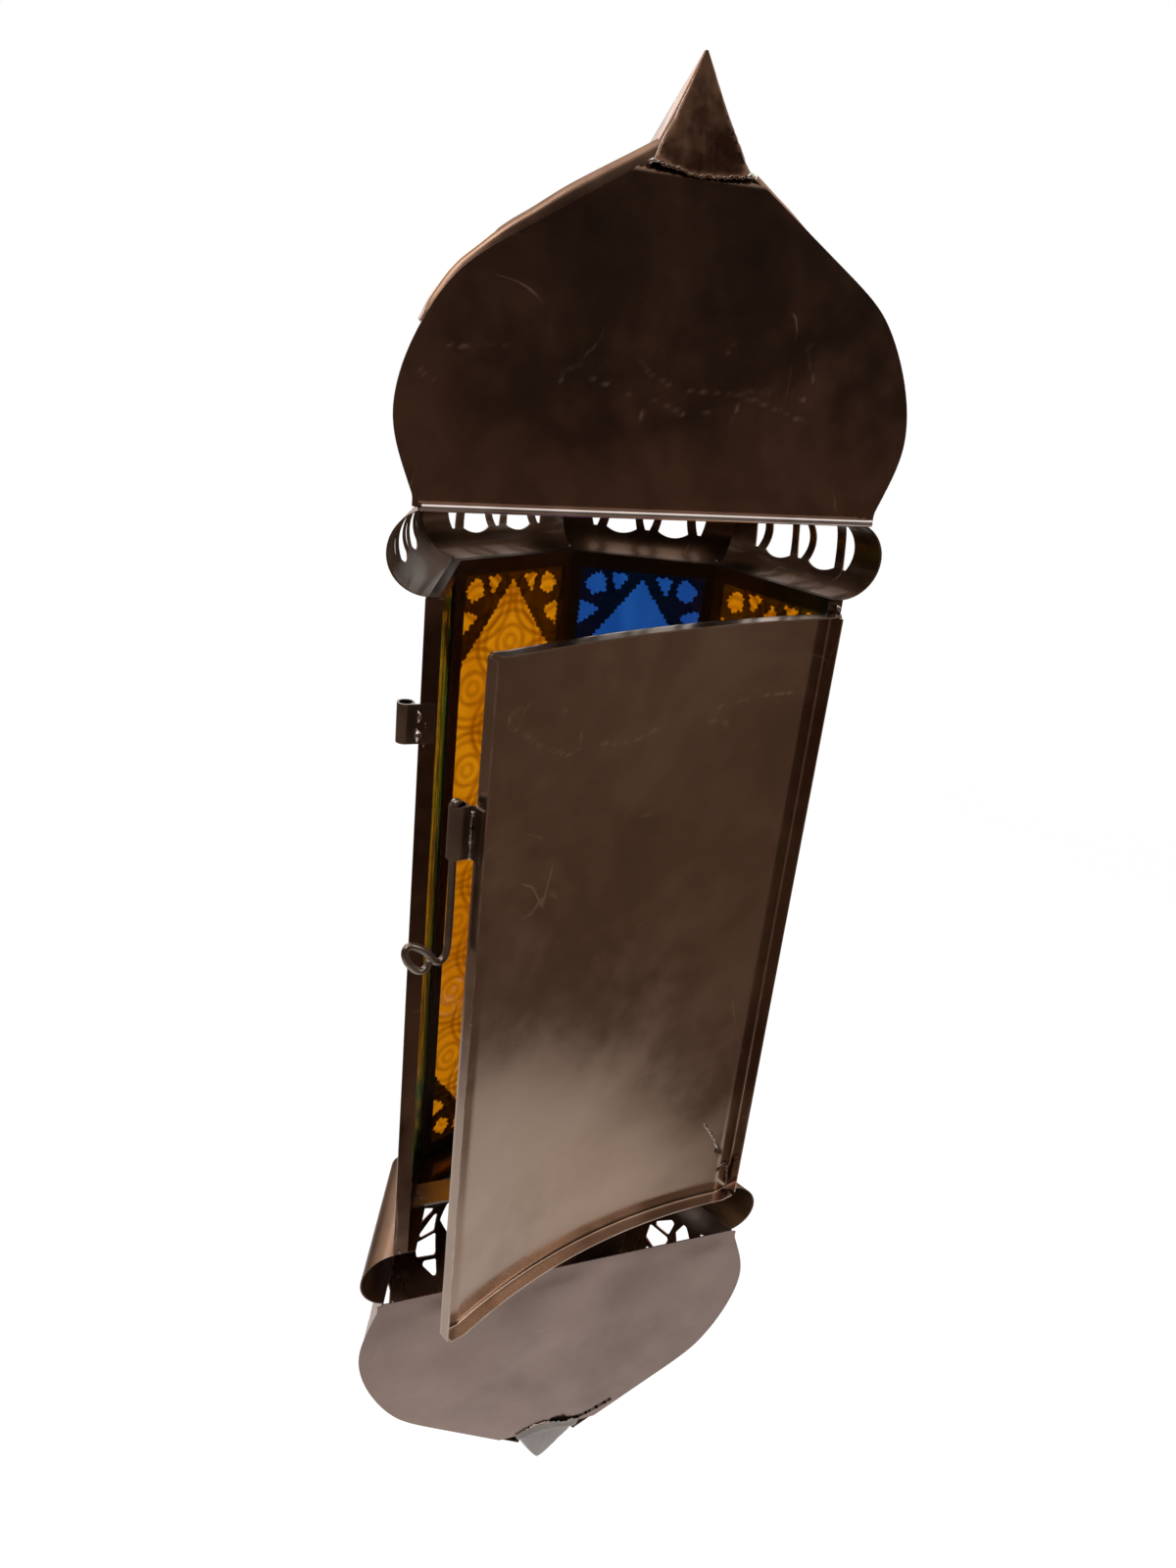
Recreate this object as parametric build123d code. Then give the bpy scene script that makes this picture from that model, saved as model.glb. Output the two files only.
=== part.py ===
from build123d import *
import os
from math import cos, radians, sin, tan

# A half-octagon wall lantern of sheet metal and coloured glass, with a rear door.
# Front faces -Y, the wall is on +Y, Z is up. Lengths are in mm, angles in degrees.
# The working origin is the body's top edge, on the centre line of the back plane.
# Every solid is moved at the end, so that the origin is on the upper plate's rear face.

# Plan
bays = 4
bay_angle = 180 / bays
half_bay = bay_angle / 2
body_radius = 100.0
body_height = 351.0

# Sheet, glass and wire
sheet = 0.8
fret_sheet = 0.7
glass_thickness = 2.5
glass_edge_gap = 1.1
strip_sheet = 0.7

# Clearances
face_gap = 0.3
solder_gap = 0.05
door_face_gap = 1.0
door_end_gap = 5.0

# Half-round cornices
cornice_bulge = 17.0
upper_cornice_height = 35.0
lower_cornice_height = 32.0
cornice_low_from_edge = 10.5
cornice_high_to_edge = 3.5
barrel_width = 15.6
barrel_pitch = 13.4
barrel_waist = 1.6
barrel_belly = 2.4
slot_width = 7.0
end_slot_width = 5.6
end_slot_at = 27.0
slot_tip_part = 0.3

# Onion domes, from the body's corners in the back plane and above the straight edge
dome_edge_out = 4.8
dome_widest_out = 15.8
dome_widest_at = 38.0
dome_shoulder_in = 3.0
dome_shoulder_at = 84.0
dome_slope_in = 28.0
dome_slope_at = 103.5
dome_neck_half = 18.0
dome_neck_at = 136.0
dome_foot_lean = 0.35
plate_overhang = 0.8
plate_lip = 5.0

# Leaves sawn through each dome sheet, from its centre line and the dome's edge
dome_leaf_corner = 1.8
crown_near = 11.0
crown_reach = 15.0
crown_top_at = 22.0
crown_height = 19.0
wing_near = 7.6
wing_reach = 18.0
wing_heel = 3.4
wing_top_at = 34.0
wing_height = 14.6
heart_near = 10.0
heart_reach = 16.4
heart_heel = 2.6
heart_top_at = 50.4
heart_side = 9.2
heart_height = 13.6
foot_near = 12.8
foot_reach = 12.8
foot_heel = 3.0
foot_top_at = 66.2
foot_slant = 3.6
foot_height = 11.0
drop_half = 6.4
drop_top_at = 31.0
drop_wide = 12.5
drop_height = 28.0

# Finials
finial_depth = 9.0
upper_finial_radius = 23.0
upper_finial_from = 130.0
upper_finial_height = 44.0
lower_finial_radius = 20.0
lower_finial_from = 129.0
lower_finial_height = 36.0
finial_tip_radius = 1.2
finial_inner_tip_radius = 0.6

# Rims, corner strips and jambs
rim_band = 8.0
upper_lip_depth = 5.0
lower_lip_depth = 11.0
strip_leg = 5.4
jamb_flange = 7.5

# Fretwork, in the plane of a bay, as distances from the centre line and the end
fret_arch_half = 32.5
fret_tip_at = 12.0
fret_flank_half = 15.0
fret_flank_at = 33.2
fret_shoulder_at = 59.0
fret_shoulder_half = 27.0
fret_shoulder_mid = 49.2
tri_top_at = 10.5
tri_low_at = 20.0
tri_near = 6.6
tri_far = 15.5
tri_low = 12.8
leaf_near = 18.2
leaf_far = 29.4
leaf_top_at = 10.0
leaf_low_at = 22.4
leaf_top = 21.6
leaf_heel = 24.6
leaf_near_low_at = 19.6
leaf_near_top_at = 13.6
leaf_side_at = 16.4
side_tri_far = 31.0
side_tri_near = 20.6
side_tri_top_at = 25.6
side_tri_mid_at = 29.6
side_tri_low_at = 39.0
fret_corner = 0.8

# Door, hinge and its swing
door_open = 17.0
door_side_gap = 0.8
door_margin = 10.0
door_flange = 8.0
door_bow_top = 7.0
door_bow_bottom = 12.0
knuckle_radius = 2.4
pin_radius = 1.2
pin_clearance = 0.06
pin_head_radius = 2.0
pin_head_height = 1.0
knuckle_gap = 0.4
leaf_sheet = 0.6
hinge_top_at = 7.0
knuckle_length_top = 58.0
door_knuckle_length = 55.0
door_knuckle_spacing = 153.0
hinge_leaf = 4.0
door_leaf = 5.0

# Latch
tube_radius = 3.8
tube_wall = 0.8
keeper_top_at = 46.0
keeper_length = 18.0
sleeve_length = 23.0
bolt_radius = 1.6
bolt_head_radius = 2.2
bolt_head_height = 2.6
bolt_head_round = 1.65
bolt_lean = 1.1
tip_to_keeper = 1.0
bolt_drop = 50.0
latch_out = 5.6
latch_front = 3.0
loop_length = 20.0
loop_height = 11.0
loop_bend = 3.6
loop_sag = 2.75
tail_length = 6.5

# Lamp
lamp_depth = 38.0
strap_width = 16.0
strap_sheet = 1.5
nipple_radius = 5.0
nipple_bore = 3.5
nipple_above = 9.0
nipple_below = 6.0
nut_across = 14.0
nut_height = 3.5
holder_radius = 14.0
holder_height = 40.0
holder_wall = 2.0
base_height = 9.0
shell_radius = 7.6
shell_wall = 0.4
cap_radius = 6.9
cap_height = 24.0
cap_contact_radius = 2.6
cap_contact_height = 1.6
contact_width = 5.0
contact_thickness = 1.0
bulb_radius = 17.5
bulb_height = 68.0
bulb_widest_at = 27.2
bulb_neck = 6.6
bulb_wall = 0.8
rivet_radius = 1.6
rivet_head_radius = 3.0
rivet_head_height = 1.0

# Values that follow from the sizes above
side_cos = cos(radians(half_bay))
side_tan = tan(radians(half_bay))
apothem = body_radius * side_cos
dome_edge_half = body_radius + dome_edge_out
dome_widest_half = body_radius + dome_widest_out
dome_shoulder_half = body_radius - dome_shoulder_in
dome_slope_half = body_radius - dome_slope_in
reach = 3 * body_radius
fret_inner = apothem - fret_sheet
glass_inner = fret_inner - glass_thickness
strip_inner = glass_inner - strip_sheet
glass_half = glass_inner * side_tan - glass_edge_gap
body_bottom = -body_height
dome_base = upper_cornice_height
lower_dome_base = body_bottom - lower_cornice_height
wall_y = sheet
origin_z = dome_base + dome_widest_at
hinge_x = jamb_flange - hinge_leaf - body_radius
hinge_y = knuckle_radius + face_gap
door_x = hinge_x + knuckle_radius + face_gap
door_width = body_radius - door_side_gap - door_x
door_top = -door_end_gap
door_bottom = body_bottom + door_end_gap
latch_x = body_radius + latch_out
latch_y = -latch_front
sleeve_x = latch_x - bolt_lean
sleeve_y = latch_y
keeper_bottom = -keeper_top_at - keeper_length
bolt_tip = keeper_bottom - tip_to_keeper
sleeve_top = bolt_tip - bolt_head_height - solder_gap
sleeve_bottom = sleeve_top - sleeve_length
strap_bottom = body_bottom + sheet
strap_top = strap_bottom + strap_sheet
holder_bottom = strap_top + nut_height + solder_gap


def bay_sector():
    """The wedge of space that one bay fills, its outward direction along +X."""
    side = reach * side_tan
    outline = Polyline((0, 0), (reach, -side), (reach, side), close=True)
    return extrude(Pos(0, 0, -2 * reach) * make_face(outline), 4 * reach)


on_foot = (Align.CENTER, Align.CENTER, Align.MIN)
sector = bay_sector()
behind_back = Pos(0, reach, 0) * Box(4 * reach, 2 * reach, 6 * reach)


def turned(index):
    """The turn that takes a bay from +X to its place, counted from the latch side."""
    return Rot(0, 0, -half_bay - bay_angle * index)


def in_bay(solid, index):
    """Mitre a solid to its bay and turn it into place."""
    return turned(index) * (solid & sector)


def slab(n_low, n_high, u_half, z_low, z_high, u_middle=0.0):
    """A box in a bay: n outwards, u along the bay, z up."""
    size = Box(n_high - n_low, 2 * u_half, z_high - z_low)
    return Pos((n_low + n_high) / 2, u_middle, (z_low + z_high) / 2) * size


def along_bay(outline):
    """Draw a profile of (n, z) along the whole bay."""
    return extrude(Plane.XZ * make_face(outline), body_radius, both=True)


def through_bay(outline):
    """Cut a profile of (u, z) straight out through the bay."""
    return extrude(Plane.YZ * make_face(outline), reach)


def rounded(points, radius):
    """A flat shape with softened corners."""
    face = make_face(Polyline(*points, close=True))
    return fillet(face.vertices(), radius)


def mirrored(solid):
    """The lower twin of a piece drawn above z = 0 of the upper dome's edge."""
    return mirror(solid, about=Plane.XY)


# Cornices
def cornice_profile(height):
    """A half-round band from the body's edge up to the dome's edge."""
    low = apothem
    high = dome_edge_half * side_cos
    mid = (body_radius + cornice_bulge) * side_cos
    outer = ThreePointArc((low, 0), (mid, height / 2), (high, height))
    inner = ThreePointArc((high - sheet, height), (mid - sheet, height / 2), (low - sheet, 0))
    return Curve() + [outer, Line(outer @ 1, inner @ 0), inner, Line(inner @ 1, outer @ 0)]


def barrel_outline(middle, low, high):
    """A wide opening with waisted sides and a round foot."""
    half = barrel_width / 2
    centre = (low + high) / 2
    waist = half - barrel_waist
    right = ThreePointArc((middle + half, low), (middle + waist, centre), (middle + half, high))
    left = ThreePointArc((middle - half, high), (middle - waist, centre), (middle - half, low))
    foot = ThreePointArc(left @ 1, (middle, low - barrel_belly), right @ 0)
    return Curve() + [right, Line(right @ 1, left @ 0), left, foot]


def lens_outline(middle, width, low, high):
    """A slender opening with blunt ends."""
    centre = (low + high) / 2
    wide = width / 2
    tip = wide * slot_tip_part
    right = ThreePointArc((middle + tip, low), (middle + wide, centre), (middle + tip, high))
    left = ThreePointArc((middle - tip, high), (middle - wide, centre), (middle - tip, low))
    return Curve() + [right, Line(right @ 1, left @ 0), left, Line(left @ 1, right @ 0)]


def cornice(height):
    """One bay of a cornice, standing on z = 0."""
    return along_bay(cornice_profile(height))


def cornice_openings(height):
    """The five openings of a pierced cornice's bay."""
    low = cornice_low_from_edge
    high = height - cornice_high_to_edge
    openings = [through_bay(lens_outline(0, slot_width, low, high))]
    for side in (-1, 1):
        openings.append(through_bay(barrel_outline(side * barrel_pitch, low, high)))
        openings.append(through_bay(lens_outline(side * end_slot_at, end_slot_width, low, high)))
    return openings


# Domes
def dome_side(extra=0.0, scale=1.0):
    """The onion outline as a curve up to the slope and a straight run to the neck."""
    edge = ((dome_edge_half + extra) * scale, 0)
    widest = ((dome_widest_half + extra) * scale, dome_widest_at)
    shoulder = ((dome_shoulder_half + extra) * scale, dome_shoulder_at)
    slope = ((dome_slope_half + extra) * scale, dome_slope_at)
    neck = ((dome_neck_half + extra) * scale, dome_neck_at)
    run = Line(slope, neck)
    belly = Spline(edge, widest, shoulder, slope, tangents=[(dome_foot_lean * scale, 1), run % 0])
    return belly, run


def dome_leaves():
    """The openings of a dome sheet: a drop in the middle and four leaves on each side."""
    crown_far = crown_near + crown_reach
    crown_low = crown_top_at + crown_height
    wing_low = wing_top_at + wing_height
    heart_far = heart_near + heart_reach
    heart_low = heart_top_at + heart_height
    leaves = [
        [
            (crown_far, crown_top_at),
            (crown_far, crown_low),
            (crown_near, crown_top_at + crown_height / 2),
        ],
        [
            (wing_near, wing_top_at),
            (wing_near + wing_reach, wing_low),
            (wing_near + wing_heel, wing_low),
        ],
        [
            (heart_near, heart_top_at),
            (heart_far, heart_top_at),
            (heart_far, heart_top_at + heart_side),
            (heart_near + heart_heel, heart_low),
        ],
        [
            (foot_near, foot_top_at),
            (foot_near + foot_reach, foot_top_at - foot_slant),
            (foot_near + foot_heel, foot_top_at + foot_height),
        ],
    ]
    drop_at = drop_top_at + drop_wide
    drop = [
        (0, drop_top_at),
        (drop_half, drop_at),
        (0, drop_top_at + drop_height),
        (-drop_half, drop_at),
    ]
    shapes = [rounded(points, dome_leaf_corner) for points in leaves]
    shapes += [mirror(shape, about=Plane.YZ) for shape in shapes]
    return shapes + [rounded(drop, dome_leaf_corner)]


def dome_gore():
    """One curved sheet of the dome, pierced with leaves."""
    belly, slope = dome_side(scale=side_cos)
    inner_belly, inner_slope = dome_side(extra=-sheet, scale=side_cos)
    outline = Curve() + [
        belly,
        slope,
        Line(slope @ 1, inner_slope @ 1),
        inner_slope,
        inner_belly,
        Line(inner_belly @ 0, belly @ 0),
    ]
    return along_bay(outline) - [extrude(Plane.YZ * leaf, reach) for leaf in dome_leaves()]


def dome_fill():
    """Everything inside the dome's outer faces, with its back plate."""
    belly, slope = dome_side(scale=side_cos)
    outline = Curve() + [
        belly,
        slope,
        Line(slope @ 1, (0, dome_neck_at)),
        Line((0, dome_neck_at), (0, 0)),
        Line((0, 0), belly @ 0),
    ]
    solid = along_bay(outline)
    return Part() + [in_bay(solid, index) for index in range(bays)]


def dome_plate(top):
    """The flat onion-shaped back plate, up to the finial's foot."""
    right_belly, right_slope = dome_side(extra=plate_overhang)
    left = [mirror(arc, about=Plane.YZ) for arc in (right_belly, right_slope)]
    outline = Curve() + [
        right_belly,
        right_slope,
        Line(right_slope @ 1, left[1] @ 1),
        left[1],
        left[0],
        Line(left[0] @ 0, right_belly @ 0),
    ]
    onion = extrude(Plane.XZ * make_face(outline), -sheet)
    return onion & Pos(0, 0, top / 2) * Box(4 * body_radius, 4 * sheet, top)


def plate_fold():
    """The lip folded towards the wall along a plate's straight edge."""
    return Pos(0, plate_lip / 2, sheet / 2) * Box(2 * dome_edge_half, plate_lip, sheet)


def finial(radius, start, height):
    """A hollow sheet cone whose foot is cut to sit over the dome's peak."""
    outer = Cone(radius, finial_tip_radius, height, align=on_foot)
    inner_height = height - 2 * sheet
    inner = Cone(radius - sheet, finial_inner_tip_radius, inner_height, align=on_foot)
    cone = Pos(0, -finial_depth, start) * (outer - inner)
    trimmed = cone - dome_fill() - dome_plate(start)
    pieces = sorted(trimmed.solids(), key=lambda piece: piece.volume)
    return pieces[-1]


# Body
def rim(lip_depth):
    """A half-octagon band inside the glass with a lip over its edge, lip down at z = 0."""
    pieces = []
    for index in range(bays):
        band = in_bay(slab(strip_inner, glass_inner, body_radius, 0, rim_band), index)
        pieces.append(band - Pos(0, -sheet, 0) * behind_back)
        pieces.append(in_bay(slab(apothem - lip_depth, apothem, body_radius, 0, sheet), index))
    return Part() + pieces


def corner_strip(index):
    """A folded strip over two panes' edges, between one bay and the next."""
    leg_u = glass_inner * side_tan - strip_leg / 2
    low = body_bottom + rim_band
    first = slab(strip_inner, glass_inner, strip_leg / 2, low, -rim_band, -leg_u)
    second = slab(strip_inner, glass_inner, strip_leg / 2, low, -rim_band, leg_u)
    return in_bay(first, index) + in_bay(second, index + 1)


def jamb():
    """The latch side's upright: a flange in the back plane and a leg inside the glass."""
    leg_u = glass_inner * side_tan - strip_leg / 2
    leg = slab(strip_inner, glass_inner, strip_leg / 2, body_bottom + rim_band, -rim_band, leg_u)
    flange = slab(0, jamb_flange, sheet / 2, body_bottom + sheet, -sheet, -sheet / 2)
    return in_bay(leg, 0) + Pos(body_radius - jamb_flange, 0, 0) * flange


def fret_arch():
    """The tall window: an ogee arch at both ends, between straight sides."""
    top = [
        (fret_arch_half, fret_shoulder_at),
        (fret_shoulder_half, fret_shoulder_mid),
        (fret_flank_half, fret_flank_at),
        (0, fret_tip_at),
    ]
    right_up = ThreePointArc((top[0][0], -top[0][1]), (top[1][0], -top[1][1]), (top[2][0], -top[2][1]))
    right_tip = Line(right_up @ 1, (top[3][0], -top[3][1]))
    upper = [right_up, right_tip] + [mirror(edge, about=Plane.YZ) for edge in (right_up, right_tip)]
    middle = Plane((0, -body_height / 2, 0), z_dir=(0, 1, 0))
    lower = [mirror(edge, about=middle) for edge in upper]
    low_side = -body_height + fret_shoulder_at
    sides = [
        Line((side * fret_arch_half, -fret_shoulder_at), (side * fret_arch_half, low_side))
        for side in (-1, 1)
    ]
    return make_face(Curve() + upper + lower + sides)


def piercing(points):
    """A small opening of the fretwork."""
    return rounded(points, fret_corner)


def fret_piercings():
    """Three small openings beside the arch's tip, right and left, top and bottom."""
    shapes = [
        piercing([(tri_near, -tri_top_at), (tri_far, -tri_top_at), (tri_low, -tri_low_at)]),
        piercing(
            [
                (leaf_near, -leaf_near_low_at),
                (leaf_near, -leaf_near_top_at),
                (leaf_top, -leaf_top_at),
                (leaf_far, -leaf_side_at),
                (leaf_heel, -leaf_low_at),
            ]
        ),
        piercing(
            [
                (side_tri_far, -side_tri_top_at),
                (side_tri_near, -side_tri_mid_at),
                (side_tri_far, -side_tri_low_at),
            ]
        ),
    ]
    shapes += [mirror(shape, about=Plane.YZ) for shape in shapes]
    middle = Plane((0, -body_height / 2, 0), z_dir=(0, 1, 0))
    return shapes + [mirror(shape, about=middle) for shape in shapes]


def fret_panel(index):
    """A pierced sheet outside the glass."""
    panel = slab(fret_inner, apothem, body_radius, body_bottom + sheet, -sheet)
    for face in [fret_arch()] + fret_piercings():
        panel -= extrude(Plane.YZ * face, reach)
    return in_bay(panel, index) - Pos(0, -sheet, 0) * behind_back


def pane():
    """One sheet of coloured glass."""
    return slab(glass_inner, fret_inner, glass_half, body_bottom + sheet, -sheet)


# Hinge
def tube(outer, bore, low, high):
    """An upright tube."""
    length = high - low
    wall = Cylinder(outer, length, align=on_foot) - Cylinder(bore, length, align=on_foot)
    return Pos(0, 0, low) * wall


def knuckle_spans():
    """Heights of the five knuckles, the frame's and the door's by turns."""
    first = -hinge_top_at - knuckle_length_top
    second = first - door_knuckle_spacing
    third = second - door_knuckle_length
    door = [
        (first - door_knuckle_length, first - knuckle_gap),
        (third, second - knuckle_gap),
    ]
    frame = [
        (first, -hinge_top_at),
        (second, door[0][0] - knuckle_gap),
        (body_bottom + hinge_top_at, third - knuckle_gap),
    ]
    return frame, door


pin_bore = pin_radius + pin_clearance
frame_spans, door_spans = knuckle_spans()


def frame_knuckle(low, high):
    """A rolled knuckle with its leaf on the jamb's flange."""
    place = Pos(hinge_x, hinge_y, 0)
    leaf_low = hinge_x - hinge_leaf + face_gap
    size = Box(hinge_x - leaf_low, leaf_sheet, high - low)
    leaf = Pos((hinge_x + leaf_low) / 2, leaf_sheet / 2, (low + high) / 2) * size
    bored = place * Pos(0, 0, low) * Cylinder(pin_bore, high - low, align=on_foot)
    return place * tube(knuckle_radius, pin_bore, low, high) + leaf - bored


def door_knuckle(low, high):
    """A rolled knuckle with its leaf on the door's flange."""
    leaf_x = door_x - leaf_sheet
    leaf_y = hinge_y + knuckle_radius / 2
    size = Box(leaf_sheet, door_leaf, high - low)
    y_mid = leaf_y + door_leaf / 2 - knuckle_radius
    leaf = Pos(leaf_x + leaf_sheet / 2, y_mid, (low + high) / 2) * size
    return Pos(hinge_x, hinge_y, 0) * tube(knuckle_radius, pin_bore, low, high) + leaf


def hinge_pin():
    """A wire through all the knuckles, with a flattened head."""
    length = body_height - 2 * hinge_top_at
    wire = Pos(0, 0, -hinge_top_at - length) * Cylinder(pin_radius, length, align=on_foot)
    head = Pos(0, 0, -hinge_top_at) * Cylinder(pin_head_radius, pin_head_height, align=on_foot)
    return Pos(hinge_x, hinge_y, 0) * (wire + head)


# Door, drawn closed
def bow_side(y, bow, inset):
    """One side of the bowed band: a flat margin, the bow and a flat margin."""
    left = door_x + door_margin
    right = door_x + door_width - door_margin
    bowed = ThreePointArc((left, y), ((left + right) / 2, y - bow), (right, y))
    return [
        Line((door_x + inset, y), bowed @ 0),
        bowed,
        Line(bowed @ 1, (door_x + door_width - inset, y)),
    ]


def bow_band(depth_front, depth_back, bow, z, inset=0.0):
    """A band across the door in plan, bowed towards the lantern."""
    front = bow_side(door_face_gap + depth_front, bow, inset)
    back = bow_side(door_face_gap + depth_back, bow, inset)
    ends = [Line(front[0] @ 0, back[0] @ 0), Line(front[-1] @ 1, back[-1] @ 1)]
    return Pos(0, 0, z) * make_face(Curve() + front + back + ends)


def door_panel():
    """A shallow tray: a bowed sheet with four flanges folded towards the wall."""
    low = bow_band(0, door_flange, door_bow_bottom, door_bottom)
    high = bow_band(0, door_flange, door_bow_top, door_top)
    block = loft([low, high], ruled=True)
    low_hollow = bow_band(sheet, 2 * door_flange, door_bow_bottom, door_bottom + sheet, sheet)
    high_hollow = bow_band(sheet, 2 * door_flange, door_bow_top, door_top - sheet, sheet)
    return block - loft([low_hollow, high_hollow], ruled=True)


def keeper():
    """The frame's half of the latch: a rolled tube with a tail on the jamb."""
    bore = tube_radius - tube_wall
    keeper_top = keeper_bottom + keeper_length
    rolled = Pos(latch_x, latch_y, 0) * tube(tube_radius, bore, keeper_bottom, keeper_top)
    y_high = latch_y + tube_radius
    tail_x = body_radius - tail_length
    size = Box(latch_x - tail_x, y_high, keeper_length)
    tail = Pos((latch_x + tail_x) / 2, y_high / 2, keeper_bottom + keeper_length / 2) * size
    bored = Pos(latch_x, latch_y, keeper_bottom) * Cylinder(bore, keeper_length, align=on_foot)
    return rolled + tail - bored


def latch_sleeve():
    """The door's half of the latch: a rolled tube with a tail on the door's flange."""
    bore = tube_radius - tube_wall
    rolled = Pos(sleeve_x, sleeve_y, 0) * tube(tube_radius, bore, sleeve_bottom, sleeve_top)
    z_mid = (sleeve_bottom + sleeve_top) / 2
    edge_x = door_x + door_width
    y_high = sleeve_y + tube_radius
    y_low = y_high - tube_wall + face_gap
    bridge = Box(sleeve_x - edge_x, y_high - y_low, sleeve_length)
    bridge = Pos((sleeve_x + edge_x) / 2, (y_high + y_low) / 2, z_mid) * bridge
    tail_y = door_face_gap + tail_length
    tail = Box(tube_wall, tail_y - y_low, sleeve_length)
    tail = Pos(edge_x + tube_wall / 2, (tail_y + y_low) / 2, z_mid) * tail
    bored = Pos(sleeve_x, sleeve_y, sleeve_bottom) * Cylinder(bore, sleeve_length, align=on_foot)
    return rolled + bridge + tail - bored


def latch_bolt():
    """A wire with a flattened head, bent at its foot into a finger loop."""
    neck_z = sleeve_top + solder_gap
    foot_z = sleeve_bottom - bolt_drop
    mid_z = foot_z + loop_height / 2
    path = FilletPolyline(
        (0, 0, neck_z),
        (0, 0, foot_z),
        (loop_length, 0, foot_z - loop_sag),
        (loop_length, 0, mid_z + loop_height / 2),
        (2 * bolt_radius + face_gap, 0, mid_z),
        radius=loop_bend,
    )
    section = Plane((0, 0, neck_z), z_dir=(0, 0, -1)) * Circle(bolt_radius)
    wire = sweep(section, path=path)
    head = Pos(0, 0, neck_z) * Cylinder(bolt_head_radius, bolt_head_height, align=on_foot)
    crown = head.edges().group_by(Axis.Z)[-1]
    head = fillet(crown, bolt_head_round)
    return Pos(latch_x, latch_y, 0) * (wire + head)


# Lamp
def at_lamp(solid):
    """Move a solid from the centre line onto the lamp's axis."""
    return Pos(0, -lamp_depth, 0) * solid


def upright(radius, low, high):
    """A cylinder on the lamp's axis."""
    return Pos(0, 0, low) * Cylinder(radius, high - low, align=on_foot)


def strap_rivet_x():
    """How far out the strap's rivets sit: in the middle of the lip under the strap."""
    lip_middle = (strip_inner + apothem - lower_lip_depth) / 2
    return (lip_middle - lamp_depth * sin(radians(half_bay))) / side_cos


def lamp_strap():
    """A flat bar across the lower lip, bored for the nipple and two rivets."""
    blank = Box(2 * body_radius, strap_width, strap_sheet)
    bar = Pos(0, -lamp_depth, (strap_bottom + strap_top) / 2) * blank
    inside = Part() + [
        in_bay(slab(0, strip_inner - face_gap, body_radius, strap_bottom, strap_top), index)
        for index in range(bays)
    ]
    bar = bar & inside
    bar -= at_lamp(upright(nipple_radius, strap_bottom, strap_top))
    for side in (-1, 1):
        hole = at_lamp(upright(rivet_radius, strap_bottom, strap_top))
        bar -= Pos(side * strap_rivet_x(), 0, 0) * hole
    return bar


def strap_rivets():
    """A rivet through each end of the strap and the lip below it."""
    rivets = []
    for side in (-1, 1):
        shank = upright(rivet_radius, body_bottom, strap_top)
        head = upright(rivet_head_radius, strap_top, strap_top + rivet_head_height)
        tail = upright(rivet_head_radius, body_bottom - rivet_head_height, body_bottom)
        rivets.append(Pos(side * strap_rivet_x(), 0, 0) * at_lamp(shank + head + tail))
    return rivets


def rivet_holes():
    """The holes that the strap's rivets need in the lower lip."""
    return [
        Pos(side * strap_rivet_x(), 0, 0) * at_lamp(upright(rivet_radius, body_bottom, strap_bottom))
        for side in (-1, 1)
    ]


def nut(low):
    """A thin hexagon nut on the nipple."""
    body = Pos(0, 0, low) * extrude(RegularPolygon(nut_across / 2, 6, major_radius=False), nut_height)
    return at_lamp(body - upright(nipple_radius, low, low + nut_height))


def nipple():
    """The hollow threaded tube that carries the lamp holder."""
    low = strap_bottom - sheet - nut_height - nipple_below
    high = holder_bottom + nipple_above
    return at_lamp(upright(nipple_radius, low, high) - upright(nipple_bore, low, high))


def holder_base():
    """The lamp holder's foot, bored for the nipple."""
    foot = upright(holder_radius, holder_bottom, holder_bottom + base_height)
    return at_lamp(foot - upright(nipple_radius, holder_bottom, holder_bottom + base_height))


def holder_sleeve():
    """The lamp holder's outer sleeve."""
    low = holder_bottom + base_height
    high = holder_bottom + holder_height
    return at_lamp(upright(holder_radius, low, high) - upright(holder_radius - holder_wall, low, high))


def holder_shell():
    """The holder's brass shell with the floor that stands on the foot."""
    low = holder_bottom + base_height + contact_thickness + cap_contact_height
    high = low + cap_height - cap_contact_height
    bore = shell_radius - shell_wall
    wall = upright(shell_radius, low, high) - upright(bore, low, high)
    floor = upright(holder_radius - holder_wall, low, low + shell_wall)
    floor -= upright(cap_contact_radius + face_gap, low, low + shell_wall)
    return at_lamp(wall + floor)


def centre_contact():
    """The spring tongue under the bulb's tip."""
    low = holder_bottom + base_height
    tongue = Box(2 * (holder_radius - holder_wall - face_gap), contact_width, contact_thickness)
    return at_lamp(Pos(0, 0, low + contact_thickness / 2) * tongue)


def bulb_cap():
    """The bulb's brass screw cap with its centre contact."""
    low = holder_bottom + base_height + contact_thickness
    body_low = low + cap_contact_height + shell_wall
    tip = upright(cap_contact_radius, low, body_low)
    return at_lamp(tip + upright(cap_radius, body_low, body_low + cap_height - cap_contact_height))


def bulb_glass():
    """A candle-shaped envelope standing on the cap."""
    foot = holder_bottom + base_height + contact_thickness + shell_wall + cap_height
    widest = foot + bulb_widest_at
    top = foot + bulb_height

    def envelope(skin):
        side = Spline(
            (bulb_neck - skin, foot),
            (bulb_radius - skin, widest),
            (bulb_neck - skin, top - bulb_neck),
            (0, top - skin),
        )
        outline = Curve() + [side, Line(side @ 1, (0, foot)), Line((0, foot), side @ 0)]
        return revolve(Plane.XZ * make_face(outline), Axis.Z)

    return at_lamp(envelope(0) - envelope(bulb_wall))


# Assembly
def open_door(solid):
    """Swing a piece of the closed door to the photographed opening."""
    axis = Axis((hinge_x, hinge_y, 0), (0, 0, 1))
    return solid.rotate(axis, door_open)


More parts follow.
